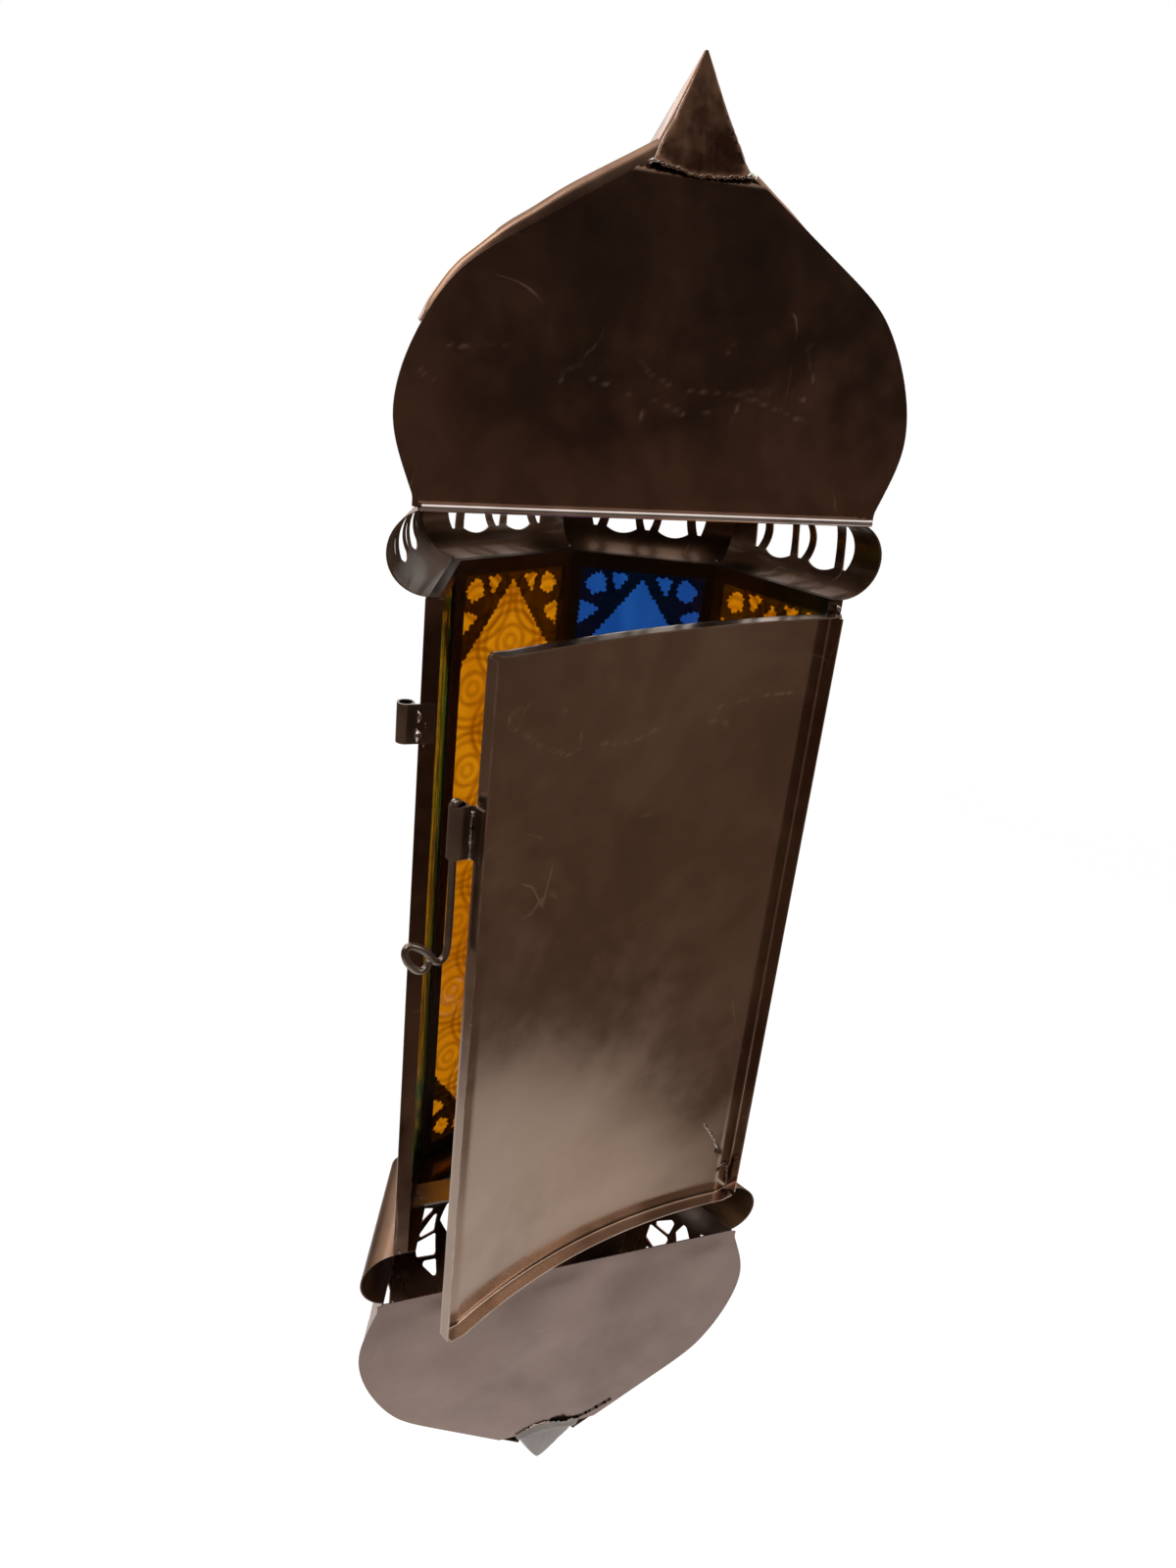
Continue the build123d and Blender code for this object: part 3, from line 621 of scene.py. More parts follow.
BROWN = SheetFinish("brown_sheet", shade(92, 72, 60), shade(128, 100, 82))
FINISHES: dict[str, SheetFinish | GlassFinish | MouldedFinish] = {
    "plate": SheetFinish(
        "upper_plate_brown", shade(96, 76, 66), shade(138, 104, 84), smooth_low=0.14,
        smooth_high=0.26,
    ),
    "lower_plate": SheetFinish(
        "lower_plate_brown", shade(120, 103, 96), shade(162, 141, 131), cloud_scale=9.0,
        smooth_low=0.2, smooth_high=0.34,
    ),
    # The lip's pale finish is a painted highlight along the rolled lip.
    "lip": SheetFinish(
        "lip_painted_highlight", shade(196, 182, 178), shade(238, 228, 224), smooth_low=0.12,
        smooth_high=0.25,
    ),
    "body": BROWN,
    # The dome's brown is the sheet's own colour made paler: a painted sheen for the upward-facing dome
    # sheet.
    "dome": SheetFinish(
        "dome_brown_painted_sheen", shade(120, 92, 76), shade(162, 128, 106), smooth_low=0.22, smooth_high=0.36,
    ),
    "door": SheetFinish(
        "door_brown", shade(142, 118, 100), shade(166, 142, 124), edge=shade(225, 212, 204),
        smooth_low=0.16, smooth_high=0.26, edge_radius=0.0008,
    ),
    "cornice": SheetFinish(
        "cornice_brown", shade(86, 62, 46), shade(122, 90, 66), smooth_low=0.34, smooth_high=0.5,
    ),
    "copper": SheetFinish(
        "finial_copper", shade(84, 56, 41), shade(124, 92, 72), cloud_scale=26.0,
        cloud_contrast=0.12, smooth_low=0.26, smooth_high=0.42, coat=0.08,
    ),
    "grey": SheetFinish(
        "finial_pewter", shade(108, 100, 96), shade(150, 141, 135), smooth_low=0.3,
        smooth_high=0.45,
    ),
    "fret": SheetFinish(
        "fret_black", shade(14, 12, 10), shade(30, 24, 20), smooth_low=0.4, smooth_high=0.6,
        edge_amount=0.08, scratch_amount=0.08, coat=0.0,
    ),
    "strip": SheetFinish(
        "strip_bronze", shade(54, 42, 32), shade(84, 64, 46), smooth_low=0.3, smooth_high=0.5,
        edge_amount=0.25, scratch_amount=0.2, coat=0.05,
    ),
    # Near-black sheet laid into gaps: painted shade where the lower finial and the plate part.
    "gap_shade": SheetFinish(
        "painted_gap_shade", shade(8, 7, 6), shade(18, 14, 12), smooth_low=0.6, smooth_high=0.8,
        edge_amount=0.0, coat=0.0,
    ),
    "tube": SheetFinish(
        "tube_brown", shade(112, 98, 88), shade(150, 134, 122), edge=shade(215, 205, 198),
        edge_amount=0.9,
    ),
    "wire": SheetFinish(
        "wire_grey", shade(98, 86, 76), shade(148, 134, 120), smooth_low=0.24, smooth_high=0.4,
        grain=0.1,
    ),
    "solder": SheetFinish(
        "solder_silver", shade(150, 136, 128), shade(216, 204, 196), cloud_scale=120.0,
        smooth_low=0.15, smooth_high=0.35, wave_scale=260.0, wave_depth=0.0004,
    ),
    "dark_solder": SheetFinish(
        "solder_dark", shade(70, 56, 46), shade(140, 118, 102), cloud_scale=140.0, smooth_low=0.2,
        smooth_high=0.45, wave_scale=260.0, wave_depth=0.0004,
    ),
    "steel": SheetFinish(
        "zinc_steel", shade(170, 168, 164), shade(205, 203, 198), smooth_low=0.25, smooth_high=0.4,
    ),
    "brass": SheetFinish(
        "lamp_brass", shade(190, 150, 84), shade(222, 184, 112), smooth_low=0.2, smooth_high=0.34,
    ),
    "plastic": MouldedFinish("holder_black", shade(38, 37, 36)),
    "green": GlassFinish(
        "glass_green", deep=shade(14, 62, 46), bright=shade(118, 150, 40),
        groove=shade(40, 70, 20), streak_scale=52.0, sharpness=0.09, rough=0.12, ripple=0.0006,
    ),
    "amber": GlassFinish(
        "glass_amber", deep=shade(206, 122, 3), bright=shade(226, 146, 14),
        groove=shade(146, 74, 0), streak_scale=24.0, sharpness=0.2, rough=0.1, ripple=0.0002,
    ),
    "blue": GlassFinish(
        "glass_blue", deep=shade(26, 80, 158), bright=shade(44, 106, 186),
        groove=shade(16, 62, 138), streak_scale=30.0, sharpness=0.2, rough=0.06, ripple=0.0002,
    ),
    "clear": GlassFinish(
        "bulb_clear", deep=shade(244, 244, 240), bright=shade(250, 250, 248), streak_scale=30.0,
        sharpness=0.2, rough=0.02, ripple=0.00005, clarity=1.0,
    ),
}


def finish(name: str) -> bpy.types.Material:
    """Find a finish's material, or build it."""
    wanted = FINISHES[name]
    return bpy.data.materials.get(wanted.name) or wanted.build()


def hang(piece: bpy.types.Object, body: Body, slot: str, look: str, *nodes: str) -> bpy.types.Object:
    """Dress a piece, hang it on its body and log it.

    Args:
        piece: The piece, in place.
        body: The body it rides on.
        slot: The record's material slot for the piece; not used.
        look: The finish it is dressed in.
        nodes: The frame's nodes that it stands for.

    Returns:
        The piece.
    """
    piece.data.materials.clear()
    piece.data.materials.append(finish(look))
    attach(piece, body.value)
    if nodes:
        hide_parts(*nodes)
    LOG.info("%s on %s, %d faces", piece.name, body.value, len(piece.data.polygons))
    return piece


# Sub-assemblies


CARRIED_LOOKS: dict[str, tuple[str, ...]] = {
    "dome": ("dome_gore", "bottom_gore"),
    "cornice": ("top_cornice", "bottom_cornice"),
    "strip": ("corner_strip", "upper_rim", "lower_rim"),
    "body": ("latch_jamb", "hinge_jamb"),
    "tube": ("latch_keeper", "frame_knuckles", "door_knuckles", "latch_sleeve"),
    "wire": ("hinge_pin",),
    "copper": ("top_finial",),
    "grey": ("bottom_finial",),
    "steel": ("lamp_strap", "strap_rivets", "lamp_nipple", "nipple_nut"),
    "plastic": ("holder_base", "holder_sleeve"),
    "brass": ("holder_shell", "holder_contact", "bulb_cap"),
    "clear": ("bulb_glass",),
}


@dataclass
class CarriedNodes:
    """The frame's nodes that keep their own shape and take a finish."""

    looks: dict[str, tuple[str, ...]] = field(default_factory=lambda: CARRIED_LOOKS)

    def look_of(self, name: str) -> str:
        """Find a node's finish by how its name starts."""
        return next((look for look, starts in self.looks.items() if name.startswith(starts)), "body")

    def dress(self, nodes: dict[str, bpy.types.Object]) -> None:
        """Give each node its finish."""
        for name, node in nodes.items():
            look = self.look_of(name)
            for place in node.material_slots:
                place.material = finish(look)
            LOG.info("%s keeps its shape in %s", name, look)


ROLLED_LIP: Sequence[Flat] = (
    (2.2, 2.5), (2.8, 3.0), (3.6, 3.1), (4.3, 2.7), (4.7, 2.0), (4.72, 1.25), (4.35, 0.65),
    (3.6, 0.4), (2.0, 0.4), (1.1, 0.42), (0.65, 0.6), (0.43, 1.0),
)
PLAIN_EDGE: Sequence[Flat] = ((0.4, 0.3), (0.4, 0.9))


@dataclass
class OnionPlate:
    """A flat onion-shaped back plate, with or without a rolled lip on its straight edge."""

    name: str
    node: str
    look: str
    edge: float
    upwards: bool
    seed: float
    lip_half: float = 104.6
    lip_reach: float = 3.6
    lip_from: float = 1.3
    skin: float = 0.6
    dent: float = 0.25
    dent_size: float = 42.0
    stiff_edge: float = 14.0
    stiff_fold: float = 16.0
    tuck: float = 0.0
    tuck_slope: float = 0.85
    pitch: float = 1.6
    columns: int = 150
    scuffs: Sequence[Sequence[Flat]] = ()
    lip: Sequence[Flat] = ROLLED_LIP

    def outline(self, nodes: dict[str, bpy.types.Object]) -> list[Flat]:
        """Read the plate's half-width at each height from its node."""
        mesh = nodes[self.node].data
        widths: dict[float, float] = {}
        for vertex in mesh.vertices:
            height = abs((vertex.co.z / MM + ORIGIN_Z) - self.edge)
            widths[round(height, 2)] = max(widths.get(round(height, 2), 0.0), vertex.co.x / MM)
        return sorted(place for place in widths.items() if place[0] > SHEET and place[1] > 0)

    def half_at(self, outline: Sequence[Flat], height: float) -> float:
        """Find the plate's half-width at a height."""
        if height <= outline[0][0]:
            return outline[0][1]
        for (low, first), (high, second) in zip(outline, outline[1:]):
            if low <= height <= high:
                return first + (second - first) * (height - low) / (high - low)
        (before, wide), (end, narrow) = outline[-2:]
        return narrow + (narrow - wide) * (height - end) / (end - before)

    def build(self, nodes: dict[str, bpy.types.Object]) -> bpy.types.Object:
        """Build the plate in place of its node.

        Args:
            nodes: The frame's nodes, one of which gives the outline.

        Returns:
            The plate.
        """
        outline = self.outline(nodes)
        top = outline[-1][0] + self.tuck
        profile = [(y, z, True) for y, z in self.lip]
        profile += [(0.4, z, False) for z in steps(1.6, top, self.pitch)]
        sign = 1.0 if self.upwards else -1.0
        points: list[Vector] = []
        marks: list[float] = []
        for y, z, on_lip in profile:
            half = self.lip_half if on_lip else self.half_at(outline, z) - 0.2
            for column in range(self.columns + 1):
                x = half * (2 * column / self.columns - 1)
                inside = smooth(2.0, self.stiff_fold, z) * smooth(0.0, self.stiff_edge, half - abs(x))
                inside *= smooth(0.0, self.stiff_edge, top - z)
                dent = unevenness(x, z, self.dent_size, self.dent_size, self.seed) * self.dent * inside
                tucked = self.tuck_slope * max(z - outline[-1][0], 0.0)
                points.append(row(x, y + dent - tucked, self.edge + sign * z))
                marks.append(scuff_at(self.scuffs, x, self.edge + sign * z))
        faces = grid_faces(len(profile), self.columns + 1)
        if self.upwards:
            faces = [tuple(reversed(face)) for face in faces]
        piece = mesh_object(self.name, points, faces)
        write_marks(piece, "scuff", marks)
        thicken(piece, self.skin * MM)
        shade_by_angle(piece, 50)
        hang(piece, Body.LANTERN, "patinated_sheet", self.look, self.node)
        # The rolled lip takes the pale lip finish, a painted highlight.
        piece.data.materials.append(finish("lip"))
        for face in piece.data.polygons:
            on_lip = abs(face.center.z / MM + ORIGIN_Z - self.edge) < self.lip_reach
            if on_lip and face.center.y / MM + WALL_Y > self.lip_from:
                face.material_index = 1
        return piece


SCUFF_REACH = 1.1
SCUFF_CORE = 0.1
SCUFF_GRAIN = 2.6
SCUFF_STRENGTH = 0.7


def scuff_at(lines: Sequence[Sequence[Flat]], x: float, z: float) -> float:
    """Say how scuffed the sheet is at a point, from the lines that a tool or a nail drew.

    Args:
        lines: The scuffs, each as points across and up.
        x: The point's place across.
        z: The point's height.

    Returns:
        0 for clean sheet, up to SCUFF_STRENGTH on a line.
    """
    mark = 0.0
    for line in lines:
        for (ax, az), (bx, bz) in zip(line, line[1:]):
            dx, dz = bx - ax, bz - az
            part = min(max(((x - ax) * dx + (z - az) * dz) / (dx * dx + dz * dz), 0.0), 1.0)
            away = math.hypot(x - ax - dx * part, z - az - dz * part)
            if away < SCUFF_REACH:
                broken = min(max(0.3 + 1.1 * unevenness(x, z, SCUFF_GRAIN, SCUFF_GRAIN, 3.1), 0.0), 1.0)
                mark = max(mark, SCUFF_STRENGTH * smooth(SCUFF_REACH, SCUFF_CORE, away) * broken)
    return mark


def write_marks(piece: bpy.types.Object, name: str, marks: Sequence[float]) -> None:
    """Write a mark on each corner, such as how scuffed it is, for the finish to read."""
    layer = piece.data.attributes.new(name, "FLOAT", "POINT")
    layer.data.foreach_set("value", list(marks))


@dataclass
class DoorTray:
    """The door: a bowed sheet with four flanges folded towards the wall, open at its corners."""

    left: float = HINGE_X + 2.7
    right: float = 99.2
    top: float = -5.0
    bottom: float = -346.0
    margin: float = 10.0
    gap: float = 1.0
    flange: float = 8.0
    fold: float = 1.3
    skin: float = 0.7
    bow_top: float = 7.0
    bow_bottom: float = 12.0
    dent: float = 0.35
    corner_lean: float = 0.12
    pitch: float = 1.4
    scuffs: Sequence[Sequence[Flat]] = ()

    def section(self, low: float, high: float) -> list[tuple[float, float, bool]]:
        """Draw the folded section across the door.

        Args:
            low: One outer edge.
            high: The other outer edge.

        Returns:
            Places across, heights towards the wall, and whether each is on a flange.
        """
        half = self.skin / 2
        radius = self.fold
        side = low + half
        bend = [math.radians(angle) for angle in (90, 67, 45, 22)]
        first = [(side, height, True) for height in (self.flange - 0.1, 5.2, 3.0)]
        arc = [
            (side + radius * (1 - math.sin(a)), half + radius * (1 - math.cos(a)), True) for a in bend
        ]
        sheet = [(x, half, False) for x in steps(side + radius, high - half - radius, self.pitch)]
        mirrored = [(low + high - x, y, flag) for x, y, flag in reversed(first + arc)]
        return first + arc + sheet + mirrored

    def bow(self, x: float, z: float) -> float:
        """Say how far the sheet bows towards the lantern."""
        low = self.left + self.margin
        high = self.right - self.margin
        if not low < x < high:
            return 0.0
        part = (z - self.bottom) / (self.top - self.bottom)
        depth = self.bow_bottom + (self.bow_top - self.bow_bottom) * part
        half = (high - low) / 2
        radius = (half * half + depth * depth) / (2 * depth)
        across = x - (low + high) / 2
        return math.sqrt(radius * radius - across * across) - (radius - depth)

    def on_face(self, x: float, z: float) -> Vector:
        """Place a point on the sheet's face towards the wall."""
        return door_row(x, self.gap - self.bow(x, z) + self.skin, z)

    def build(self) -> bpy.types.Object:
        """Build the door's sheet in place of its node."""
        across = self.section(self.left, self.right)
        upwards = self.section(self.bottom, self.top)
        points: list[Vector] = []
        marks: list[float] = []
        for z, up, on_end in upwards:
            for x, out, on_side in across:
                height = self.gap - self.bow(x, z) + max(up, out)
                if not on_end and not on_side:
                    edge = min(x - self.left, self.right - x, z - self.bottom, self.top - z)
                    height += unevenness(x, z, 55.0, 70.0, 9.3) * self.dent * smooth(3.0, 25.0, edge)
                shift = self.corner_lean * max(up - self.fold, 0.0) if on_end else 0.0
                shift *= 1.0 if x < 0 else -1.0
                near = smooth(8.0, 0.0, min(x - self.left, self.right - x))
                points.append(door_row(x + shift * near, height, z))
                marks.append(scuff_at(self.scuffs, x, z) if not (on_end or on_side) else 0.0)

        def open_corner(low: int, left: int) -> bool:
            """Leave the corners open, as folded sheet does."""
            end = upwards[low][2] or upwards[low + 1][2]
            side = across[left][2] or across[left + 1][2]
            return end and side

        faces = grid_faces(len(upwards), len(across), open_corner)
        used = sorted({index for face in faces for index in face})
        order = {old: new for new, old in enumerate(used)}
        turned = [tuple(order[index] for index in reversed(face)) for face in faces]
        piece = mesh_object("door_tray", [points[old] for old in used], turned)
        write_marks(piece, "scuff", [marks[old] for old in used])
        thicken(piece, self.skin * MM)
        shade_by_angle(piece, 50)
        return hang(piece, Body.DOOR, "patinated_sheet", "door", "door_panel")


@dataclass
class FretPanel:
    """A sheet sawn by hand into an arched window with small openings at both ends."""

    bay: int
    skin: float = 0.7
    tooth: float = 0.8
    tooth_pitch: float = 1.35
    half: float = 37.9
    top: float = -0.9
    bottom: float = -350.1
    arch: Sequence[Flat] = (
        (32.5, 59.0), (31.5, 56.2), (29.6, 52.8), (27.0, 49.2), (23.4, 44.4), (19.2, 38.9),
        (15.0, 33.2), (10.0, 26.2), (5.0, 19.0), (0.0, 12.0),
    )
    openings: Sequence[Sequence[Flat]] = (
        ((6.6, 10.6), (11.0, 10.1), (15.5, 10.6), (14.8, 14.6), (12.8, 20.0), (9.4, 15.4)),
        (
            (18.3, 19.5), (18.2, 13.6), (21.6, 10.0), (26.0, 12.2), (29.4, 16.4), (27.4, 19.6),
            (24.6, 22.4),
        ),
        ((31.1, 25.7), (25.6, 27.2), (20.8, 29.6), (25.2, 34.6), (31.0, 38.8)),
    )

    def sawn(self, outline: Sequence[Flat], rng: random.Random) -> list[Flat]:
        """Break an outline into the small teeth that a coarse saw leaves."""
        ragged: list[Flat] = []
        count = len(outline)
        for index, (ax, az) in enumerate(outline):
            bx, bz = outline[(index + 1) % count]
            length = math.hypot(bx - ax, bz - az)
            parts = max(1, round(length / self.tooth_pitch))
            for part in range(parts):
                side = self.tooth if part % 2 else -self.tooth
                push = side * rng.uniform(0.3, 1.2)
                slide = rng.uniform(-0.3, 0.3)
                x = ax + (bx - ax) * part / parts
                z = az + (bz - az) * part / parts
                nx, nz = (bz - az) / length, -(bx - ax) / length
                ragged.append((x + nx * push + nz * slide, z + nz * push - nx * slide))
        return ragged

    def outlines(self) -> list[list[Flat]]:
        """List the panel's edge and its sawn openings."""
        rng = random.Random(40 + self.bay)
        length = BODY_HEIGHT
        right = [(x, -z) for x, z in self.arch]
        left = [(-x, z) for x, z in reversed(right[:-1])]
        upper = right + left
        lower = [(-x, -length - z) for x, z in upper]
        found = [self.sawn(upper + lower, rng)]
        for opening in self.openings:
            for side in (1, -1):
                found.append(self.sawn([(side * x, -z) for x, z in opening], rng))
                found.append(self.sawn([(side * x, z - length) for x, z in opening], rng))
        half, top, bottom = self.half, self.top, self.bottom
        return [[(half, top), (-half, top), (-half, bottom), (half, bottom)], *found]

    def build(self) -> bpy.types.Object:
        """Build the panel in place of its node."""
        name = f"fretwork_{self.bay + 1}"
        curve = bpy.data.curves.new(name, "CURVE")
        curve.dimensions = "2D"
        curve.fill_mode = "BOTH"
        curve.extrude = self.skin / 2
        for outline in self.outlines():
            spline = curve.splines.new("POLY")
            spline.points.add(len(outline) - 1)
            for point, (x, z) in zip(spline.points, outline):
                point.co = (x, z, 0.0, 1.0)
            spline.use_cyclic_u = True
        drawn = bpy.data.objects.new(name, curve)
        bpy.context.scene.collection.objects.link(drawn)
        graph = bpy.context.evaluated_depsgraph_get()
        flat = bpy.data.meshes.new_from_object(drawn.evaluated_get(graph))
        middle = APOTHEM - self.skin / 2
        points = [bay_row(self.bay, middle + v.co.z, v.co.x, v.co.y) for v in flat.vertices]
        faces = [tuple(reversed(face.vertices)) for face in flat.polygons]
        bpy.data.objects.remove(drawn)
        piece = mesh_object(name, points, faces, smooth_shaded=False)
        weld(piece)
        return hang(piece, Body.LANTERN, "fret_sheet", "fret", f"fret_panel_{self.bay + 1}")


def weld(piece: bpy.types.Object) -> None:
    """Join the corners that lie on each other."""
    joint = piece.modifiers.new("weld", "WELD")
    joint.merge_threshold = 0.00001
    apply_modifiers(piece)


@dataclass
class GlassPane:
    """A sheet of rolled glass with its relief."""

    bay: int
    name: str
    node: str
    look: str
    slot: str
    relief: Callable[[float, float], float]
    inner: float = 89.188
    outer: float = 91.688
    half: float = 35.84
    top: float = -0.8
    bottom: float = -350.2
    pitch: float = 1.5
    depth: float = 0.3

    def build(self) -> bpy.types.Object:
        """Build the pane in place of its node."""
        across = steps(-self.half, self.half, self.pitch)
        upwards = steps(self.bottom, self.top, self.pitch)
        columns, rows = len(across), len(upwards)
        points: list[Vector] = []
        ridges: list[float] = []
        for side in (0, 1):
            for z in upwards:
                for u in across:
                    ridge = min(max(self.relief(u, z), 0.0), 1.0)
                    n = self.outer - 0.05 if side else self.inner + self.depth * (1 - ridge)
                    points.append(bay_row(self.bay, n, u, z))
                    ridges.append(ridge)
        layer = rows * columns
        inner_faces = grid_faces(rows, columns)
        faces = [tuple(reversed(face)) for face in inner_faces]
        faces += [tuple(index + layer for index in face) for face in inner_faces]
        ring = list(range(columns))
        ring += [line * columns + columns - 1 for line in range(1, rows)]
        ring += [layer - 1 - index for index in range(1, columns)]
        ring += [line * columns for line in range(rows - 2, 0, -1)]
        for index, first in enumerate(ring):
            second = ring[(index + 1) % len(ring)]
            faces.append((first, second, second + layer, first + layer))
        piece = mesh_object(self.name, points, faces)
        write_marks(piece, "relief", ridges)
        shade_by_angle(piece, 40)
        return hang(piece, Body.LANTERN, self.slot, self.look, self.node)


def scroll_relief(u: float, z: float) -> float:
    """Raise rings and curls, as on pressed cathedral glass."""
    height = 0.12 * (unevenness(u, z, 6.0, 6.0, 1.7) + 1)
    pitch = 44.0
    for shift, centre_u in ((0.0, 0.0), (0.5, 22.0), (0.5, -22.0)):
        centre_z = (math.floor(z / pitch - shift + 0.5) + shift) * pitch
        away = math.hypot(u - centre_u, z - centre_z)
        for radius, rise in ((20.5, 0.8), (16.0, 0.6), (8.5, 0.7), (3.5, 0.5)):
            height += rise * math.exp(-((away - radius) ** 2))
    return height


def mottled_relief(u: float, z: float) -> float:
    """Raise the upright ripples of hammered glass."""
    return 0.5 + 0.7 * unevenness(u, z, 5.0, 16.0, 5.2)


def plain_relief(u: float, z: float) -> float:
    """Raise the faint waves of plain drawn glass."""
    return 0.5 + 0.3 * unevenness(u, z, 18.0, 30.0, 2.4)


@dataclass
class SolderBead:
    """A lumpy run of solder along a joint."""

    name: str
    line: Sequence[Vector]
    radius: float
    body: Body = Body.LANTERN
    seed: int = 1
    swell: float = 0.35
    wander: float = 0.25
    slot: str = "steel_fittings"
    look: str = "solder"
    sides: int = 8
    thinnest: float = 0.08

    def build(self) -> bpy.types.Object:
        """Build the bead."""
        line = through(self.line, self.radius * MM * 0.7)
        count = len(line)
        radii: list[float] = []
        wandered: list[Vector] = []
        for index, point in enumerate(line):
            place = Vector(point) / MM
            lump = noise.noise(place / (self.radius * 2.4) + Vector((self.seed, 0, 0)))
            swell = 1 + self.swell * 2 * lump
            end = smooth(0.0, 3.0, min(index, count - 1 - index) + 0.4)
            radii.append(max(self.radius * swell * end, self.thinnest) * MM)
            sway = noise.noise_vector(place / (self.radius * 4) + Vector((0, self.seed, 0)))
            wandered.append(point + sway * self.wander * self.radius * MM)
        piece = swept(self.name, wandered, radii, self.sides)
        return hang(piece, self.body, self.slot, self.look)


@dataclass
class FinialCone:
    """A sheet cone with a flat back, wrapped over a dome's peak and soldered down."""

    name: str
    node: str
    look: str
    foot: float
    tip: float
    radius: float
    back: float
    side_drop: float
    bulge: float = 1.0
    foot_rise: float = 0.0
    lift: float = 0.0
    cover: float = 0.0
    skin: float = 0.7
    crease: float = 1.6
    lean: float = 34.0
    lift_place: float = -10.5
    lift_width: float = 5.0
    depth: float = 9.0
    turns: int = 96
    rows: int = 40
    seed: float = 0.0

    def reach(self, angle: float) -> float:
        """Give the foot's radius in a direction: round, but cut straight at the back."""
        sine = math.sin(angle)
        far = self.radius * 9
        flat = min(self.back / sine, far) if sine > 0.02 else far
        crease = self.crease
        return -math.log(math.exp(-self.radius * crease) + math.exp(-flat * crease)) / crease

    def point(self, angle: float, part: float) -> Vector:
        """Place a point of the cone.

        Args:
            angle: Its direction in plan.
            part: 0 at the foot and 1 at the tip.

        Returns:
            The point, in metres.
        """
        rising = 1.0 if self.tip > self.foot else -1.0
        back = smooth(0.0, 0.5, math.sin(angle))
        shrink = 0.02 + 0.98 * (1 - part) ** self.bulge
        out = self.reach(angle) * shrink
        x = math.cos(angle) * out
        ragged = noise.noise(Vector((x / 2.2, self.seed, 0.4))) * 1.1
        ragged += noise.noise(Vector((x / 0.7, self.seed, 4.4))) * 0.4
        low = self.foot + rising * (
            back * (self.foot_rise * (x / self.radius) ** 2 + ragged) - (1 - back) * self.side_drop
        )
        near = math.exp(-(((x - self.lift_place) / self.lift_width) ** 2))
        gap = self.lift * near * back * max(1 - part * 6, 0.0)
        around = Vector((math.cos(angle) * 2.1, math.sin(angle) * 2.1, part * 2.2 + self.seed))
        y = math.sin(angle) * out - self.depth + gap
        over_plate = WALL_Y + 0.4 - self.lean * max(part - self.cover, 0.0)
        y = max(y, y + (over_plate - y) * back) if over_plate > y else y
        bump = 1 + 0.035 * noise.noise(around) * smooth(0.0, 0.2, part) * smooth(1.0, 0.8, part)
        return row(x * bump, (y + self.depth) * bump - self.depth, low + (self.tip - low) * part)

    def build(self) -> bpy.types.Object:
        """Build the cone in place of its node."""
        angles = [2 * math.pi * turn / self.turns for turn in range(self.turns)]
        parts = [line / self.rows for line in range(self.rows + 1)]
        points = [self.point(angle, part) for part in parts for angle in angles]
        faces: list[tuple[int, ...]] = []
        for line in range(self.rows):
            for turn in range(self.turns):
                after = (turn + 1) % self.turns
                low, high = line * self.turns, (line + 1) * self.turns
                face = (low + turn, low + after, high + after, high + turn)
                faces.append(face if self.tip > self.foot else tuple(reversed(face)))
        end = tuple(range(self.rows * self.turns, (self.rows + 1) * self.turns))
        faces.append(end if self.tip > self.foot else tuple(reversed(end)))
        piece = mesh_object(self.name, points, faces)
        thicken(piece, self.skin * MM)
        shade_by_angle(piece, 38)
        slot = "finial_grey" if self.look == "grey" else "patinated_sheet"
        return hang(piece, Body.LANTERN, slot, self.look, self.node)

    def seam(self, angle: float, low: float = 0.0, high: float = 0.97) -> list[Vector]:
        """Trace a line from the foot to the tip in one direction."""
        return [self.point(angle, low + (high - low) * step / 12) for step in range(13)]

    def foot_line(self, first: float, last: float) -> list[Vector]:
        """Trace the foot between two directions."""
        return [self.point(first + (last - first) * step / 16, 0.0) for step in range(17)]


# How far the dome's edges stand out, as heights and reaches


LATCH_FLARE: Sequence[Flat] = (
    (70.0, 0.0), (79.0, 1.2), (93.0, 2.0), (106.0, 4.0), (118.0, 5.0), (137.5, 4.4),
)
HINGE_FLARE: Sequence[Flat] = ((112.0, 0.0), (124.0, 1.4), (133.0, 1.8))
FLARE_SECTION: Sequence[tuple[float, float, float]] = (
    (0.0, -1.2, -0.5), (0.45, 0.0, -1.0), (0.85, 0.0, -1.7), (1.0, 0.0, -2.7), (0.75, 0.0, -4.2),
    (0.0, -2.6, -8.0),
)


